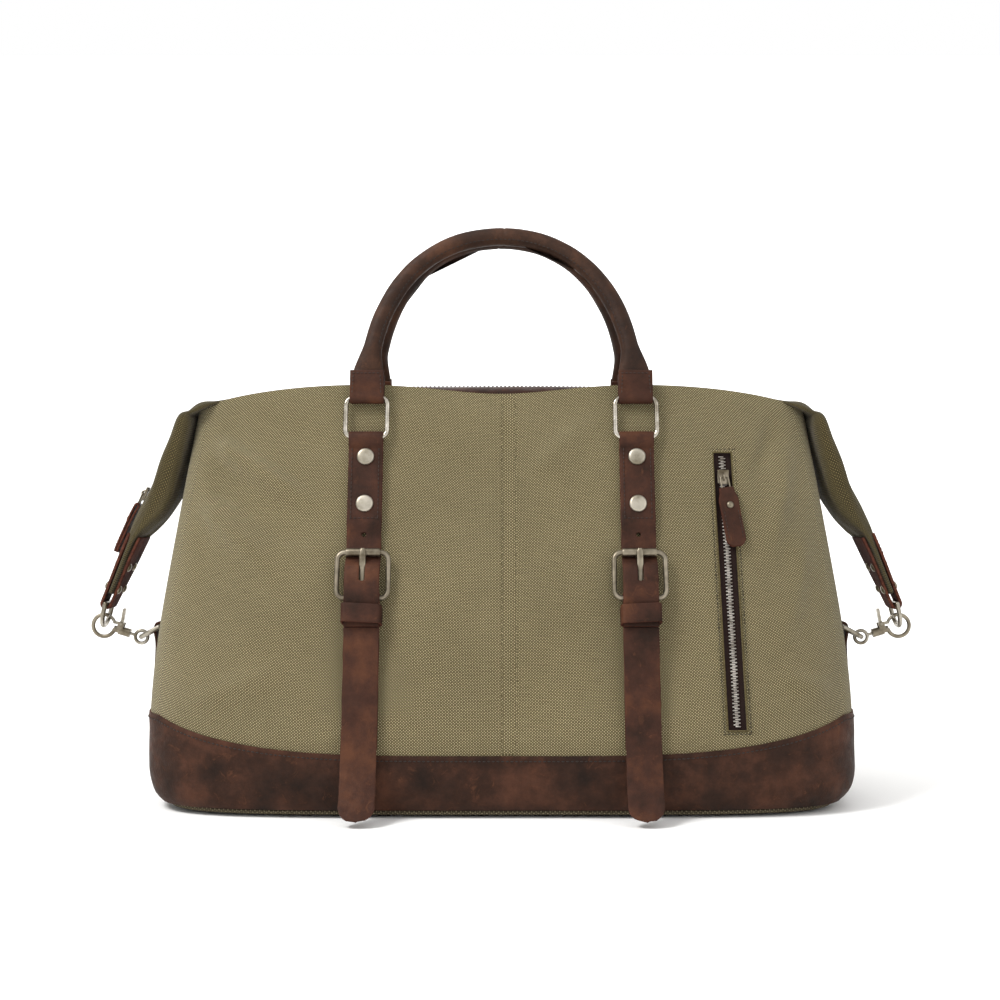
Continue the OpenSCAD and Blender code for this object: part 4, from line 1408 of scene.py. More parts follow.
    def prong(self, side: Side) -> bpy.types.Object:
        """Forge the prong: an eye round the pivot and a tapered blade on the roller."""
        x = side.sign * STRAP_X
        eye = [on_front(x, 7.4 + 2.9 * math.cos(a), -146.8 + 2.9 * math.sin(a))
               for a in (math.radians(20 + 10 * k) for k in range(32))]
        blade = smooth_line([(10.3, -144.8), (10.9, -136), (11.6, -124), (12.0, -113), (11.9, -108.6)], 8)
        parts = [tube("eye", eye, 0.9 * MM)]

        def point(u: float, v: float) -> Vector:
            """Return the blade's skin, u round it and v along."""
            spot = blade[min(len(blade) - 1, int(v * (len(blade) - 1) + 0.5))]
            angle = math.tau * u
            half = mix(2.0, 2.5, ease(v * 2)) * (1 - 0.35 * ease((v - 0.86) / 0.14))
            return on_front(x + half * math.copysign(abs(math.cos(angle)) ** 0.7, math.cos(angle)),
                            spot.x + 1.0 * math.sin(angle), spot.y)

        deselect()
        parts.append(close_ends(wrapped("blade", 20, len(blade) - 1, point, (0.01, 0.04))))
        piece = join(f"prong_{side.value}", parts)
        return place(shade(piece, 50), f"prong_{side.value}", DULL_NICKEL, f"prong_{side.value}")

    def keeper(self, side: Side) -> bpy.types.Object:
        """Loop the leather keeper round both layers, a little askew."""
        x = side.sign * STRAP_X
        route = rounded_loop(14.9, 7.6, 3.0, 6)
        route = route + route[:1]
        lean = 0.05 * side.sign

        def point(u: float, v: float) -> Vector:
            """Return the keeper's middle surface."""
            t = u * (len(route) - 1)
            i = min(len(route) - 2, int(t))
            a = mix(route[i][0], route[i + 1][0], t - i)
            b = mix(route[i][1], route[i + 1][1], t - i)
            return on_front(x + a, 8.5 + b, -160 + (v - 0.5) * 14.6 + a * lean)

        piece = wrapped(f"keeper_{side.value}", 56, 8, point, (0.09, 0.0146))
        merge(piece)
        recalculate(piece)
        piece.data.materials.append(None)
        piece.data.materials.append(None)
        modifier(piece, "SOLIDIFY", thickness=1.6 * MM, offset=0, use_even_offset=True, material_offset_rim=1)
        modifier(piece, "BEVEL", width=0.35 * MM, segments=2, limit_method="ANGLE", angle_limit=math.radians(60))
        return place(shade(piece, 50), f"keeper_{side.value}", HIDE, f"keeper_{side.value}")

    def build(self) -> None:
        """Build both straps."""
        uppers, rivets = [], []
        for side in Side:
            uppers.append(self.upper(side))
            self.edge_rows(side)
            rivets.append(self.rivets(side))
            self.lower(side)
            self.tail_strap(side)
            self.frame(side)
            self.roller(side)
            self.prong(side)
            self.keeper(side)
        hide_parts("upper_straps")
        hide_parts("strap_rivets")


@dataclass
class RearStraps:
    """The two short straps that hold the rear handle."""

    def build(self) -> None:
        """Build both rear straps with their stitching and rivets."""
        place_at = turned(on_front)
        way = Vector((0, -OUT_FRONT.y, OUT_FRONT.z))
        parts, rows, rivets = [], [], []
        for x in (-STRAP_X, STRAP_X):
            line = fold_line([(4.3, -86), (4.4, -60), (4.4, -26), (5.9, -22.7), (8.5, -19.5), (8.95, -16.5)],
                             FrontStraps.back, (5.4, -16.5), 3.55)
            parts.append(strip("rear_strap", line, 27, 2.6, place_at, x, cols=8, cup=0.25))
            for e in (-1, 1):
                rows.append([place_at(x + e * 10.6, 5.75, mix(-29, -83, i / 30)) for i in range(31)])
            rows.append([place_at(mix(x - 10.6, x + 10.6, i / 8), 5.75, -83) for i in range(9)])
            for up in (-32.4, -70.8):
                part = turned_disc("rivet", ((0, 0.00195), (0.0050, 0.00175), (0.0060, 0.0015), (0.0066, 0.0010),
                                             (0.0069, 0.0003), (0.0069, -0.0006), (0, -0.0006)), 40)
                part.data.transform(facing(place_at(x, 5.7, up), Vector((1, 0, 0)), way))
                rivets.append(part)
        place(join("rear_straps_pair", parts), "bag", HIDE, "rear_straps")
        sewn = stitches("rear_strap_stitches", rows, lambda p: way, pitch=3.4, thread=0.42, lift=0.1)
        place(sewn, "bag", BROWN_THREAD)
        place(join("rear_rivets", rivets), "bag", DULL_NICKEL)


@dataclass
class HandlePair:
    """The rolled handles, their foot tabs and the rings that they swing on."""

    radius: float = 7.3
    rise: float = (457 - 322.3) / math.cos(math.radians(15.7))
    foot: float = 10.0

    def middle(self, s: float) -> tuple[Vector, Vector]:
        """Return the middle line and its direction at s, -1 at the left foot and 1 at the right."""
        ctrl = [Vector((0, self.rise)), Vector((60, self.rise)), Vector((104, 0.66 * self.rise)),
                Vector((STRAP_X, self.foot))]
        t = abs(s)
        a, b, c, d = ctrl
        p = a * (1 - t) ** 3 + b * 3 * t * (1 - t) ** 2 + c * 3 * t * t * (1 - t) + d * t ** 3
        way = ((b - a) * (1 - t) ** 2 + (c - b) * 2 * t * (1 - t) + (d - c) * t * t).normalized()
        return (p, way) if s >= 0 else (Vector((-p.x, p.y)), Vector((-way.x, way.y)))

    def skin(self, s: float, angle: float, grow: float = 0.0) -> tuple[float, float, float]:
        """Return a point on the handle: round in the middle, flat at its feet.

        Args:
            s: Place along the handle, -1 to 1.
            angle: Place round it; 0 faces the inside of the arch, pi / 2 the front.
            grow: Extra radius in millimetres.

        Returns:
            x, out and up in the handle's plane, in millimetres.
        """
        p, way = self.middle(s)
        flat = ease((abs(s) - 0.84) / 0.14)
        lump = 0.35 * noise.noise(Vector((s * 9, angle * 0.6, 4.0)))
        wide = mix(self.radius, 12.9, flat) + grow + lump
        deep = mix(self.radius, 3.5, flat) + grow + lump
        seam = -0.9 * math.exp(-(((angle - 0.55) / 0.13) ** 2)) * (1 - flat)
        join_line = -0.5 * bump_at(s, 0.012, 0.004)
        k = (wide + seam + join_line) * math.cos(angle)
        side = 1 if s >= 0 else -1
        return (p.x + side * k * way.y,
                (deep + seam + join_line) * math.sin(angle), p.y - k * abs(way.x))

    def roll(self, name: str, where: Callable[..., Vector]) -> bpy.types.Object:
        """Roll the leather tube."""
        def point(u: float, v: float) -> Vector:
            """Return the skin, u round it and v along."""
            x, out, up = self.skin(mix(-1, 1, v), math.tau * u)
            return where(x, out, up)

        return shade(close_ends(wrapped(name, 40, 300, point, (0.046, 0.42))), 60)

    def tabs(self, name: str, where: Callable[..., Vector]) -> bpy.types.Object:
        """Fold the foot tabs round the rings."""
        parts = []
        for x in (-STRAP_X, STRAP_X):
            line = fold_line([(5.7, 21.5), (5.5, 15), (4.6, 9), (3.75, 4), (3.6, 0)],
                             [(-3.6, 0), (-3.75, 4), (-4.6, 9), (-5.5, 15), (-5.7, 21.5)], (0, 0), 3.6, over=False)
            parts.append(strip("tab", line, 27, 2.3, where, x, cols=8, cup=0.2))
        return join(name, parts)

    def rings(self, name: str, where: Callable[..., Vector]) -> bpy.types.Object:
        """Bend the two rectangular rings."""
        parts = []
        for x in (-STRAP_X, STRAP_X):
            route = [where(x + a, 5.4, b) for a, b in rounded_loop(16.5, 16.5, 6.0, 8)]
            part = tube("ring", route, 2.0 * MM, closed=True, sides=6)
            recalculate(part)
            parts.append(part)
        return join(name, parts)

    def build(self) -> None:
        """Build both handles."""
        for name, spin in (("front", False), ("rear", True)):
            handle_at = turned(on_handle) if spin else on_handle
            strap_at = turned(on_front) if spin else on_front
            body = f"{name}_handle"
            roll = self.roll(f"{name}_handle_roll", handle_at)
            place(roll, body, HANDLE_LEATHER, f"{name}_handle", f"handle_core_{name}")
            place(self.tabs(f"{name}_handle_tabs", handle_at), body, HIDE, f"handle_tabs_{name}")
            rows = []
            for x in (-STRAP_X, STRAP_X):
                for out in (6.9, -6.9):
                    rows.append([handle_at(mix(x - 10.5, x + 10.5, i / 8), out, 18.6) for i in range(9)])
                for e in (-1, 1):
                    rows.append([handle_at(mix(x + e * 11.4, x + e * 10.6, i / 8), 6.7, mix(3, 18, i / 8))
                                 for i in range(9)])
            front = on_handle(0, 1, 0) - on_handle(0, 0, 0)
            front = front if not spin else Vector((-front.x, -front.y, front.z))
            middle = handle_at(0, 0, 18)
            sewn = stitches(f"{name}_tab_stitches", rows,
                            lambda p, f=front, m=middle: f.normalized() * (1 if (p - m).dot(f) > 0 else -1),
                            pitch=3.2, thread=0.42, lift=0.1)
            place(sewn, body, BROWN_THREAD)
            seam = []
            for i in range(150):
                s = mix(-0.84, 0.84, i / 149)
                seam.append(handle_at(*self.skin(s, 0.86, 0.05)))
            thread = stitches(f"{name}_handle_stitches", [seam], lambda p, f=front: f.normalized(), pitch=3.6,
                              thread=0.38, lift=0.0)
            place(thread, body, DARK_THREAD)
            place(self.rings(f"{name}_ring_pair", strap_at), f"{name}_rings", BRIGHT_NICKEL, f"{name}_rings")


def tooth(wide: float, deep: float, high: float) -> bpy.types.Object:
    """Model one zip tooth, its corners taken off, in millimetres."""
    deselect()
    bpy.ops.mesh.primitive_cube_add(size=1)
    piece = bpy.context.object
    piece.scale = (wide * MM, deep * MM, high * MM)
    settle(piece)
    bpy.ops.object.mode_set(mode="EDIT")
    bpy.ops.mesh.select_all(action="SELECT")
    bpy.ops.mesh.bevel(offset=0.3 * MM, segments=1, affect="EDGES")
    bpy.ops.object.mode_set(mode="OBJECT")
    return piece


def slider_body(name: str) -> bpy.types.Object:
    """Model a zip slider: waisted body, side lips and the arched bail, local -Y out."""
    deselect()
    bpy.ops.mesh.primitive_grid_add(x_subdivisions=6, y_subdivisions=8, size=1)
    plate = bpy.context.object
    for vertex in plate.data.vertices:
        u, v = vertex.co.x * 2, vertex.co.y * 2
        half = mix(3.3, 4.5, ease((v + 1) / 2)) - 0.7 * bump_at(v, -0.1, 0.3)
        vertex.co = (u * half * MM, (-0.9 - 0.5 * (1 - u * u)) * MM, v * 6.0 * MM)
    modifier(plate, "SOLIDIFY", thickness=1.3 * MM, offset=0)
    modifier(plate, "BEVEL", width=0.35 * MM, segments=2, limit_method="ANGLE", angle_limit=math.radians(50))
    recalculate(plate)
    bail = [Vector((0, (-1.1 - 3.0 * math.sin(math.pi * k / 12)) * MM, mix(3.3, -3.3, k / 12) * MM))
            for k in range(13)]
    parts = [plate, tube("bail", bail, 0.75 * MM)]
    for side in (-1, 1):
        lip = [Vector((side * 3.95 * MM, 0.3 * MM, mix(-4.4, 4.4, k / 4) * MM)) for k in range(5)]
        parts.append(tube("lip", lip, 0.65 * MM))
    return shade(join(name, parts), 45)


@dataclass
class Puller:
    """A wire link with a leather tab folded through it and a small rivet."""

    width: float = 15.0
    length: float = 50.0
    drop: float = 11.2

    def build(self, name: str, at: Matrix, body: str, node: str) -> None:
        """Build the link, the tab and the rivet at a place whose -Y points out."""
        def where(x: float, out: float, up: float) -> Vector:
            """Return a point below the pivot."""
            return at @ Vector((x * MM, -out * MM, up * MM))

        ring = [where(a, 0, -5.4 + b) for a, b in rounded_loop(3.2, 5.4, 2, 6)]
        link = tube(f"{name}_link", ring, 0.65 * MM, True)
        recalculate(link)
        place(link, body, DULL_NICKEL, node)
        total = self.length
        front = [(1.4, -self.drop - total + 4), (1.55, -40), (1.6, -28), (1.7, -18), (1.55, -self.drop)]
        back = [(-1.55, -self.drop), (-1.1, -18), (-0.6, -28), (-0.55, -40), (-0.5, -self.drop - total + 4)]
        line = fold_line(front, back, (0, -self.drop), 1.55)
        piece = strip(f"{name}_tab", line, self.width, 1.7, where, 0, cols=10)
        tip = -self.drop - total + self.width / 4
        inverse = at.inverted()
        for vertex in piece.data.vertices:
            p = inverse @ vertex.co / MM
            near = clamp01((tip + self.width * 0.45 - p.z) / (self.width * 0.45))
            waist = mix(1.0, 0.72, ease((p.z + self.drop + 9) / 9))
            p.x *= math.sqrt(clamp01(1 - near ** 2.6)) * 0.9 + 0.1 if near > 0 else waist
            vertex.co = at @ (p * MM)
        place(piece, body, HIDE)
        rivet = turned_disc(f"{name}_rivet", ((0, 0.0013), (0.0015, 0.0012), (0.0024, 0.0008), (0.0028, 0.0001),
                                              (0.0028, -0.0006), (0, -0.0006)), 28)
        out = at.to_3x3() @ Vector((0, -1, 0))
        rivet.data.transform(facing(where(0, 2.85, -24), at.to_3x3() @ Vector((1, 0, 0)), out))
        place(rivet, body, DULL_NICKEL)
        rows = [[where(e * (self.width / 2 - 2.0), 2.5, mix(-30, tip + 7, i / 10)) for i in range(11)]
                for e in (-1, 1)]
        sewn = stitches(f"{name}_stitches", rows, lambda p: out, pitch=2.8, thread=0.32, lift=0.1)
        place(sewn, body, BROWN_THREAD)


@dataclass
class PocketZip:
    """The upright zip pocket on the front."""

    length: float = 221.0

    def build(self) -> None:
        """Build the folded lips, the tape, the teeth, the slider and its pull."""
        at = zip_frame()

        def where(x: float, out: float, up: float) -> Vector:
            """Return a point by the zip's middle."""
            return at @ Vector((x * MM, -out * MM, up * MM))

        half = self.length / 2
        run = [Vector((-2.7, half + 2)), Vector((-2.7, -half - 2))]
        tape = strip("pocket_tape", run, 23, 0.7, where, 0, cols=8)
        place(tape, "bag", ZIP_TAPE, "pocket_zip_tape")
        places = []
        count = int(214 / 1.35)
        for i in range(count):
            up = mix(-107, 107, i / (count - 1))
            places.append(facing(where((-1) ** i * 0.75, -1.25, up), at.to_3x3() @ Vector((1, 0, 0)),
                                 at.to_3x3() @ Vector((0, -1, 0))))
        teeth = copies("pocket_teeth", tooth(4.0, 0.95, 1.3), places)
        place(teeth, "bag", ZIP_METAL, "pocket_zip_teeth")
        lips, rows = [], []
        for e in (-1, 1):
            line = [where(e * 7.6, 0.15, mix(half, -half, i / 60)) for i in range(61)]
            lips.append(tube("lip", line, 0.7 * MM, sides=3))
            rows.append([where(e * 10.2, 0.35, mix(half + 2.5, -half - 2.5, i / 80)) for i in range(81)])
        for e in (-1, 1):
            line = [where(mix(-7.6, 7.6, i / 8), 0.15, e * half) for i in range(9)]
            lips.append(tube("lip", line, 0.7 * MM, sides=3))
            rows.append([where(mix(-10.2, 10.2, i / 8), 0.35, e * (half + 2.5)) for i in range(9)])
        place(join("pocket_lips", lips), "bag", CANVAS_FOLD)
        sewn = stitches("pocket_stitches", rows, lambda p: OUT_FRONT, pitch=3.2, thread=0.46, lift=0.15)
        place(sewn, "bag", DRAB_THREAD)
        slider = slider_body("pocket_slider_body")
        spot = at @ Matrix.Translation((0, 0, 89.6 * MM))
        slider.data.transform(spot)
        place(slider, "pocket_slider", DULL_NICKEL, "pocket_slider")
        hang = spot @ Matrix.Translation((0, -2.85 * MM, 0)) @ Matrix.Rotation(math.radians(-7.5), 4, "Y")
        Puller().build("pocket_puller", hang, "pocket_pull", "pocket_pull")


def mouth_drop(x: float) -> float:
    """Return how far the mouth sinks behind the panels' edges towards its ends."""
    return 0.0012 + 0.0085 * min(1.0, abs(x) / 0.2) ** 3


@dataclass
class Mouth:
    """The leather facings, the main zip across the top and down the ears, and its slider."""

    half: float = 200.0
    pitch: float = 1.9

    def facing_strip(self, name: str, side: int) -> bpy.types.Object:
        """Fold a leather facing over a panel's top edge."""
        line = smooth_line([(-0.0338, 0.3262), (-0.0295, 0.3304), (-0.0220, 0.3336), (-0.0095, 0.3351)], 6)

        def point(u: float, v: float) -> Vector:
            """Return the facing's outside, u along and v across."""
            t = v * (len(line) - 1)
            i = min(len(line) - 2, int(t))
            p = line[i].lerp(line[i + 1], t - i)
            x = mix(-self.half, self.half, u) * MM
            sag = 0.6 * noise.noise(Vector((x * 13, 0.4, 0.7 + side))) * MM
            y = p.x * (-side if side > 0 else 1)
            return Vector((x if side < 0 else -x, y, p.y + sag - mouth_drop(x)))

        piece = wrapped(name, 160, 18, point, (0.4, 0.027))
        piece.data.materials.append(None)
        piece.data.materials.append(None)
        thicken(piece, 1.7 * MM, rim=1)
        return shade(piece, 50)

    def build(self) -> None:
        """Build both halves of the mouth and the slider."""
        for name, side in (("front", -1), ("rear", 1)):
            body = f"mouth_{name}"
            place(self.facing_strip(f"{name}_facing", side), body, HIDE, f"mouth_facing_{name}")

            def tape_at(u: float, v: float, side: int = side) -> Vector:
                """Return the tape's upper face."""
                x = mix(-0.2, 0.2, u)
                return Vector((x, side * mix(0.0100, 0.0024, v) if side < 0 else mix(0.0024, 0.0100, v),
                               0.3332 - mouth_drop(x)))

            tape = thicken(wrapped(f"{name}_zip_tape", 80, 4, tape_at, (0.4, 0.0076)), 0.6 * MM)
            place(tape, body, ZIP_TAPE, f"main_zip_{name}")
            count = int(2 * self.half / self.pitch / 2)
            spots = [(-self.half + 1 + self.pitch * (2 * i + (side > 0))) * MM for i in range(count)]
            places = [Matrix.Translation((x, side * 1.75 * MM, 0.3322 - mouth_drop(x))) for x in spots]
            teeth = copies(f"{name}_zip_teeth", tooth(1.3, 2.9, 1.6), places)
            place(teeth, body, ZIP_METAL)
            row = [Vector((x, side * 0.0120, 0.3351 - mouth_drop(x))) for x in (mix(-0.197, 0.197, i / 60)
                                                                               for i in range(61))]
            sewn = stitches(f"{name}_facing_stitches", [row], lambda p: Vector((0, 0, 1)), pitch=3.4, thread=0.4)
            place(sewn, body, BROWN_THREAD)
        ear_zips = []
        for side in Side:
            where = on_ear(side)
            way = (where(0, 1, 0) - where(0, 0, 0)).normalized()
            along = (where(0, 0, 1) - where(0, 0, 0)).normalized()
            tape = strip("tape", [Vector((5.5, -18)), Vector((5.5, -102))], 15, 0.7, where, 0, cols=4)
            ear_zips.append(dress(tape, ZIP_TAPE))
            places = [facing(where((-1) ** i * 0.7, 6.3, mix(-19, -101, i / 60)), along, way) for i in range(61)]
            teeth = copies(f"ear_teeth_{side.value}", tooth(0.95, 4.2, 1.2), places)
            place(teeth, "bag", ZIP_METAL)
        place(join("ear_zip_tapes", ear_zips), "bag", ZIP_TAPE, "ear_zips")
        left = mirrored(on_right_ear)
        origin = left(0, 8.1, -72)
        out = (left(0, 9.1, -72) - origin).normalized()
        up = (left(0, 8.1, -71) - origin).normalized()
        across = up.cross(out) * -1
        spot = Matrix(((across.x, -out.x, up.x, origin.x), (across.y, -out.y, up.y, origin.y),
                       (across.z, -out.z, up.z, origin.z), (0, 0, 0, 1)))
        slider = slider_body("main_slider_body")
        slider.data.transform(spot)
        recalculate(slider)
        place(slider, "main_zip_slider", DULL_NICKEL, "main_zip_slider")
        Puller(13.0, 46.0).build("main_puller", spot @ Matrix.Translation((0, -2.85 * MM, 0)), "main_zip_pull",
                                 "main_zip_pull")


@dataclass
class Ears:
    """The folded top corners, their leather tabs, rivets and rings."""

    loops: tuple = ((203, 324.0, 4, 2.2, 58), (214, 322.6, 8, 3.2, 62), (226, 320.2, 14, 4.4, 68),
                    (238, 316.6, 26, 6.0, 74), (248.5, 311.6, 46, 8.0, 78))
    slope_loops: tuple = ((0, 11, 78), (20, 16, 74), (40, 20.5, 68), (60, 23, 61), (80, 20, 53), (96, 14, 46),
                          (110, 8.0, 39), (132, 5.6, 36), (158, 4.2, 26))

    def sections(self) -> list[Vector]:
        """Return the loops as x, z, pitch, thickness and width, finely spaced."""
        rows = [list(r) for r in self.loops]
        for length, thick, width in self.slope_loops:
            inset = (thick - 9) / 2 if length < 100 else 0
            rows.append([256 + length * math.sin(EAR_LEAN) - inset * math.cos(EAR_LEAN),
                         308 - length * math.cos(EAR_LEAN) - inset * math.sin(EAR_LEAN),
                         90 - math.degrees(EAR_LEAN), thick, width])
        return [Vector(r) for r in rows]

    def canvas(self, side: Side) -> bpy.types.Object:
        """Loft the folded canvas corner."""
        fine = smooth_line([tuple(r) for r in self.sections()], 9)

        def point(u: float, v: float) -> Vector:
            """Return the ear's skin, u round it and v down it."""
            row = fine[min(len(fine) - 1, int(round(v * (len(fine) - 1))))]
            angle = -math.tau * u
            k = math.copysign(abs(math.cos(angle)) ** 0.55, math.cos(angle)) * row[3] / 2
            w = math.copysign(abs(math.sin(angle)) ** 0.5, math.sin(angle)) * row[4] / 2
            pitch = math.radians(row[2])
            rim = ease(v / 0.15) * ease((1 - v) / 0.2)
            fold = 3.4 * noise.noise(Vector((math.cos(angle) * 1.3, math.sin(angle) * 1.6, v * 5.6)))
            crease = 1.3 * math.sin(v * 38 + 1.6 * math.sin(angle)) * bump_at(v, 0.33, 0.14)
            grow = (fold + crease) * rim
            k += grow * math.cos(angle)
            w += grow * math.sin(angle)
            return Vector(((row[0] + k * math.sin(pitch)) * MM * side.sign, w * MM,
                           (row[1] + k * math.cos(pitch)) * MM))

        piece = close_ends(wrapped(f"ear_{side.value}", 72, len(fine) - 1, point, (0.16, 0.2)))
        modifier(piece, "SUBSURF", levels=1, render_levels=1)
        # The darker ear canvas paints the shade that the folded ear hangs in.
        return place(shade(piece, 70), "bag", SHADED_EAR_CANVAS, f"ear_canvas_{side.value}")

    def tab(self, side: Side) -> bpy.types.Object:
        """Fold the leather tab over the ear's end and round the ring's bar."""
        where = on_ear(side)
        outer = [(4.6, -105), (4.2, -120), (4.0, -140), (3.9, -156), (3.7, -166.5)]
        inner = [(-3.7, -166.5), (-3.9, -156), (-4.0, -140), (-4.2, -120), (-4.6, -105)]
        line = fold_line(outer, inner, (0, -EAR_LENGTH), 3.7, over=False)
        piece = strip(f"ear_tab_{side.value}_leather", line, 38, 2.3, where, 0, cols=10)
        down = (where(0, 0, -1) - where(0, 0, 0)) / MM
        corner = where(0, 0, 0)
        for vertex in piece.data.vertices:
            along = (vertex.co - corner).dot(down) / MM
            vertex.co.y *= mix(1.0, 0.56, ease((along - 118) / 50))
        if side is Side.LEFT:
            recalculate(piece)
        return place(piece, "bag", (TAB_LEATHER, RAW_EDGE), f"ear_tab_{side.value}")

    def rivets_and_stitches(self, side: Side) -> bpy.types.Object:
        """Turn the four rivets and sew the tab's head."""
        where = on_ear(side)
        parts = []
        for face in (-1, 1):
            way = (where(0, face, 0) - where(0, 0, 0)).normalized()
            along = (where(0, 0, 1) - where(0, 0, 0)).normalized()
            for up in (-132, -152):
                for y in (-9, 9):
                    part = turned_disc("rivet", ((0, 0.0016), (0.0018, 0.0014), (0.0030, 0.0008), (0.0036, 0.0),
                                                 (0.0036, -0.0006), (0, -0.0006)), 24)
                    part.data.transform(facing(where(y, face * 5.3, up), along, way))
                    parts.append(part)
        piece = join(f"ear_rivets_{side.value}", parts)
        recalculate(piece)
        rows = [[where(mix(-16.5, 16.5, i / 12), 5.6, -109) for i in range(13)],
                [where(16.5, 5.6, mix(-109, -124, i / 6)) for i in range(7)],
                [where(-16.5, 5.6, mix(-109, -124, i / 6)) for i in range(7)]]
        way = (where(0, 1, 0) - where(0, 0, 0)).normalized()
        sewn = stitches(f"ear_tab_stitches_{side.value}", rows, lambda p: way, pitch=3.4, thread=0.42)
        place(sewn, "bag", BROWN_THREAD)
        return place(piece, "bag", DULL_NICKEL)

    def build(self) -> None:
        """Build both ears."""
        for side in Side:
            self.canvas(side)
            self.tab(side)
            self.rivets_and_stitches(side)
        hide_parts("ear_rivets")


@dataclass
class SideClips:
    """The rings, tabs and snap hooks that hold the ears to the ends."""

    bar: tuple = (280.3, 0, 137)
    lean: float = 3.9

    def tab(self, side: Side) -> bpy.types.Object:
        """Fold the end wall's tab round its ring."""
        turn = Matrix.Rotation(math.radians(-self.lean), 3, "Y")
        centre = Vector(self.bar)

        def where(y: float, out: float, up: float) -> Vector:
            """Return a point on the tab from the bar's middle."""
            p = centre + turn @ Vector((out, y, up))
            return Vector((p.x * side.sign, p.y, p.z)) * MM

        line = fold_line([(0.9, -50), (0.9, -30), (1.4, -14), (3.3, -5), (3.45, 0)],
                         [(-3.45, 0), (-3.45, -10), (-3.45, -30), (-3.45, -50)], (0, 0), 3.45)
        shift = [Vector((p.x if p.x > -3.4 else -3.45, p.y)) for p in line]
        piece = strip(f"gusset_tab_{side.value}", shift, 20, 2.1, where, 0, cols=8)
        if side is Side.LEFT:
            recalculate(piece)
        return piece

    def build(self) -> None:
        """Build the tabs and dress the metal that keeps its shape."""
        tabs = join("gusset_tab_pair", [self.tab(side) for side in Side])
        place(tabs, "bag", HIDE, "gusset_tabs")
        rivets = []
        for side in Side:
            part = turned_disc("rivet", ((0, 0.0018), (0.0024, 0.0015), (0.0040, 0.0009), (0.0048, 0.0),
                                         (0.0048, -0.0006), (0, -0.0006)), 28)
            way = Vector((side.sign, 0, -0.07)).normalized()
            spot = Vector((side.sign * (self.bar[0] + 2.1 + 1.9), 0, 108)) * MM
            part.data.transform(facing(spot, Vector((0, 1, 0)), way))
            rivets.append(part)
        place(join("gusset_rivets", rivets), "bag", DULL_NICKEL)
        for side in ("left", "right"):
            keep_node(f"ear_ring_{side}", NICKEL)
            keep_node(f"gusset_ring_{side}", NICKEL)
            keep_node(f"swivel_{side}", NICKEL)
            keep_node(f"snap_body_{side}", DULL_NICKEL)
            keep_node(f"snap_trigger_{side}", NICKEL)


@dataclass
class Inside:
    """The cotton lining and the zip pocket's bag."""

    gap: float = 6.2

    def build(self) -> None:
        """Hang the lining and the pocket bag."""
        def wall(u: float, v: float) -> Vector:
            """Return the lining from its mouth down to its floor's edge."""
            z = mix(0.316, 0.0098, v)
            inset = (self.gap + 3.0 * (1 - ease((z - 0.009) / 0.012))) * MM
            p = GIRTH.at(u, z, inset)
            soft = 1.6 * noise.noise(p * 12) * ease((0.316 - z) / 0.05) * ease((z - 0.01) / 0.05)
            return p - outward(p) * abs(soft) * MM

        piece = wrapped("lining_bag", 300, 60, wall, (GIRTH.length, 0.31))
        merge(piece)
        activate(piece)
        bpy.ops.object.mode_set(mode="EDIT")
        bpy.ops.mesh.select_all(action="DESELECT")
        bpy.ops.object.mode_set(mode="OBJECT")
        for edge in piece.data.edges:
            low = all(piece.data.vertices[i].co.z < 0.0099 for i in edge.vertices)
            edge.select = low
        bpy.ops.object.mode_set(mode="EDIT")
        bpy.ops.mesh.select_mode(type="EDGE")
        bpy.ops.mesh.edge_face_add()
        bpy.ops.mesh.select_all(action="SELECT")
        bpy.ops.mesh.normals_make_consistent(inside=False)
        bpy.ops.object.mode_set(mode="OBJECT")
        thicken(piece, 0.9 * MM)
        place(shade(piece, 60), "bag", LINING, "lining")

        def pouch(u: float, v: float) -> Vector:
            """Return the pocket bag's face behind the zip."""
            p = SHAPE.front(mix(0.42, 0.79, u), mix(0.070, 0.268, v))
            return p - Vector((0, -1, 0)) * 4.1 * MM

        bag = thicken(wrapped("pocket_pouch", 30, 30, pouch, (0.1, 0.2)), 1.1 * MM)
        place(shade(bag, 60), "bag", LINING, "pocket_bag")


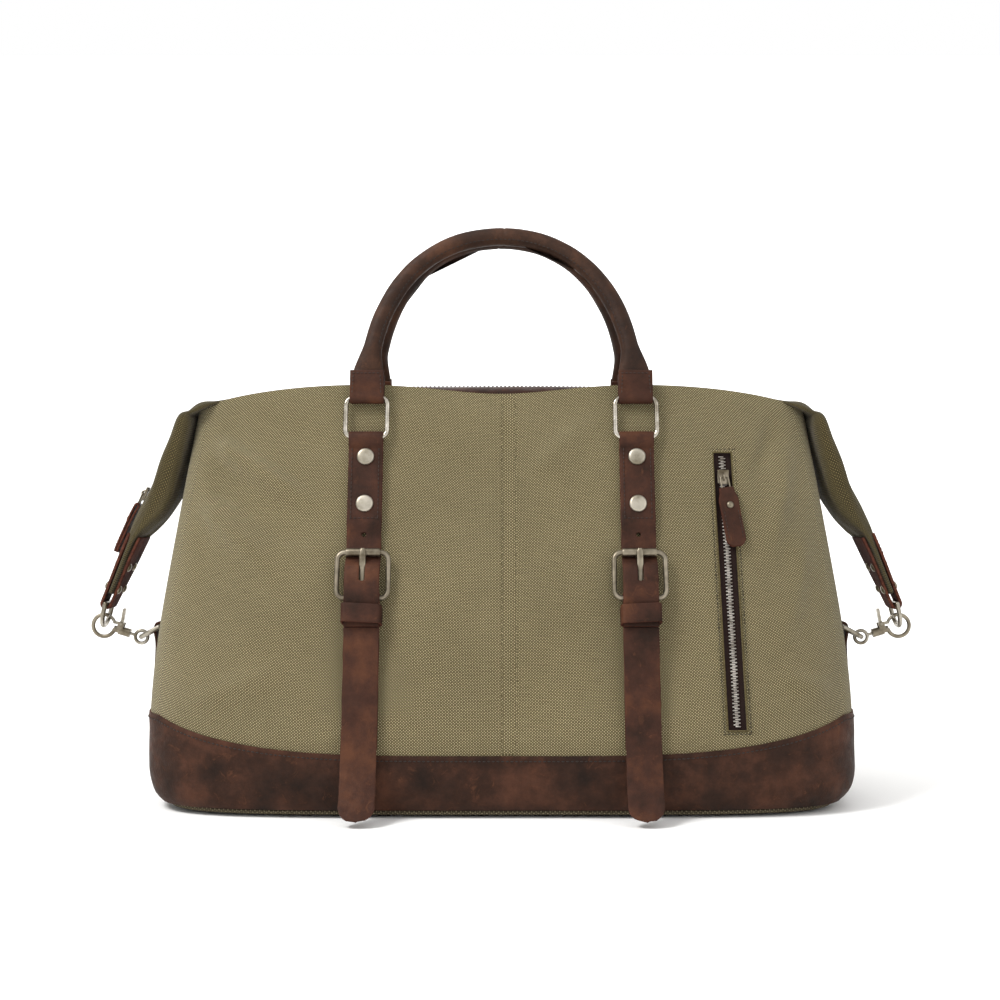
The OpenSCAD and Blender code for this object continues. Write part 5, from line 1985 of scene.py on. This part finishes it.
@dataclass
class Studio:
    """The camera, the white floor and the soft light."""

    lens: float = 57.3
    eye: tuple = (-0.001, -1.315, 0.241)

    def camera(self) -> None:
        """Set the camera level in front of the bag."""
        deselect()
        bpy.ops.object.camera_add(location=self.eye, rotation=(math.pi / 2, 0, 0))
        camera = bpy.context.object
        camera.data.lens = self.lens
        camera.data.sensor_width = 36
        camera.data.clip_start = 0.01
        camera.data.dof.use_dof = False
        bpy.context.scene.camera = camera

    def floor(self) -> None:
        """Lay a pale sweep that rises behind the bag."""
        deselect()
        bpy.ops.mesh.primitive_grid_add(x_subdivisions=8, y_subdivisions=60, size=1)
        sweep = bpy.context.object
        sweep.name = "studio_sweep"
        for vertex in sweep.data.vertices:
            y = mix(-4.5, 5.5, vertex.co.y + 0.5)
            over = max(0.0, y - 2.5)
            vertex.co = (vertex.co.x * 14, min(y, 2.5 + 2.0 * math.sin(min(1.57, over / 2.0))),
                         2.0 - 2.0 * math.cos(min(1.57, over / 2.0)) + max(0.0, over - 3.14))
        made = bpy.data.materials.new("white_studio_paper")
        made.use_nodes = True
        shader = made.node_tree.nodes["Principled BSDF"]
        shader.inputs["Roughness"].default_value = 0.9
        shader.inputs["Specular IOR Level"].default_value = 0.1
        grain = add(made.node_tree, "ShaderNodeTexNoise", {"Scale": 3.0, "Detail": 2.0})
        tone = add(made.node_tree, "ShaderNodeValToRGB", {0: grain.outputs["Fac"]})
        tone.color_ramp.elements[0].color = linear("#f6f5f3")
        tone.color_ramp.elements[1].color = linear("#fbfbfa")
        made.node_tree.links.new(tone.outputs["Color"], shader.inputs["Base Color"])
        sweep.data.materials.append(made)
        shade(sweep, 60)

    @staticmethod
    def lamp(name: str, spot: tuple, aim: tuple, size: float, power: float) -> None:
        """Hang one soft area light that looks at a point."""
        deselect()
        way = Vector(aim) - Vector(spot)
        bpy.ops.object.light_add(type="AREA", location=spot, rotation=way.to_track_quat("-Z", "Y").to_euler())
        light = bpy.context.object
        light.name = name
        light.data.shape = "SQUARE"
        light.data.size = size
        light.data.energy = power

    def build(self) -> None:
        """Set the studio."""
        self.camera()
        self.floor()
        world = bpy.data.worlds.new("soft_room")
        bpy.context.scene.world = world
        world.use_nodes = True
        sky = world.node_tree.nodes["Background"]
        sky.inputs["Color"].default_value = linear("#ffffff")
        sky.inputs["Strength"].default_value = 1.0
        bpy.context.scene.view_settings.view_transform = "Standard"
        middle = (0, 0, 0.2)
        self.lamp("key", (-1.5, -1.1, 2.3), middle, 0.8, 62)
        self.lamp("fill", (1.9, -1.7, 1.3), middle, 1.8, 8)
        self.lamp("back", (0.3, 3.0, 2.2), (0, 3.5, 0), 2.5, 60)


def main() -> None:
    """Set the studio, then build every part of the bag in order."""
    logging.basicConfig(level=logging.INFO, format="%(name)s: %(message)s")
    Studio().build()
    for part in (CanvasBody(), LeatherBase(), FrontStraps(), RearStraps(), HandlePair(), PocketZip(), Mouth(),
                 Ears(), SideClips(), Inside()):
        part.build()
        LOG.info("%s built", type(part).__name__)
    deselect()


if __name__ == "__main__":
    main()
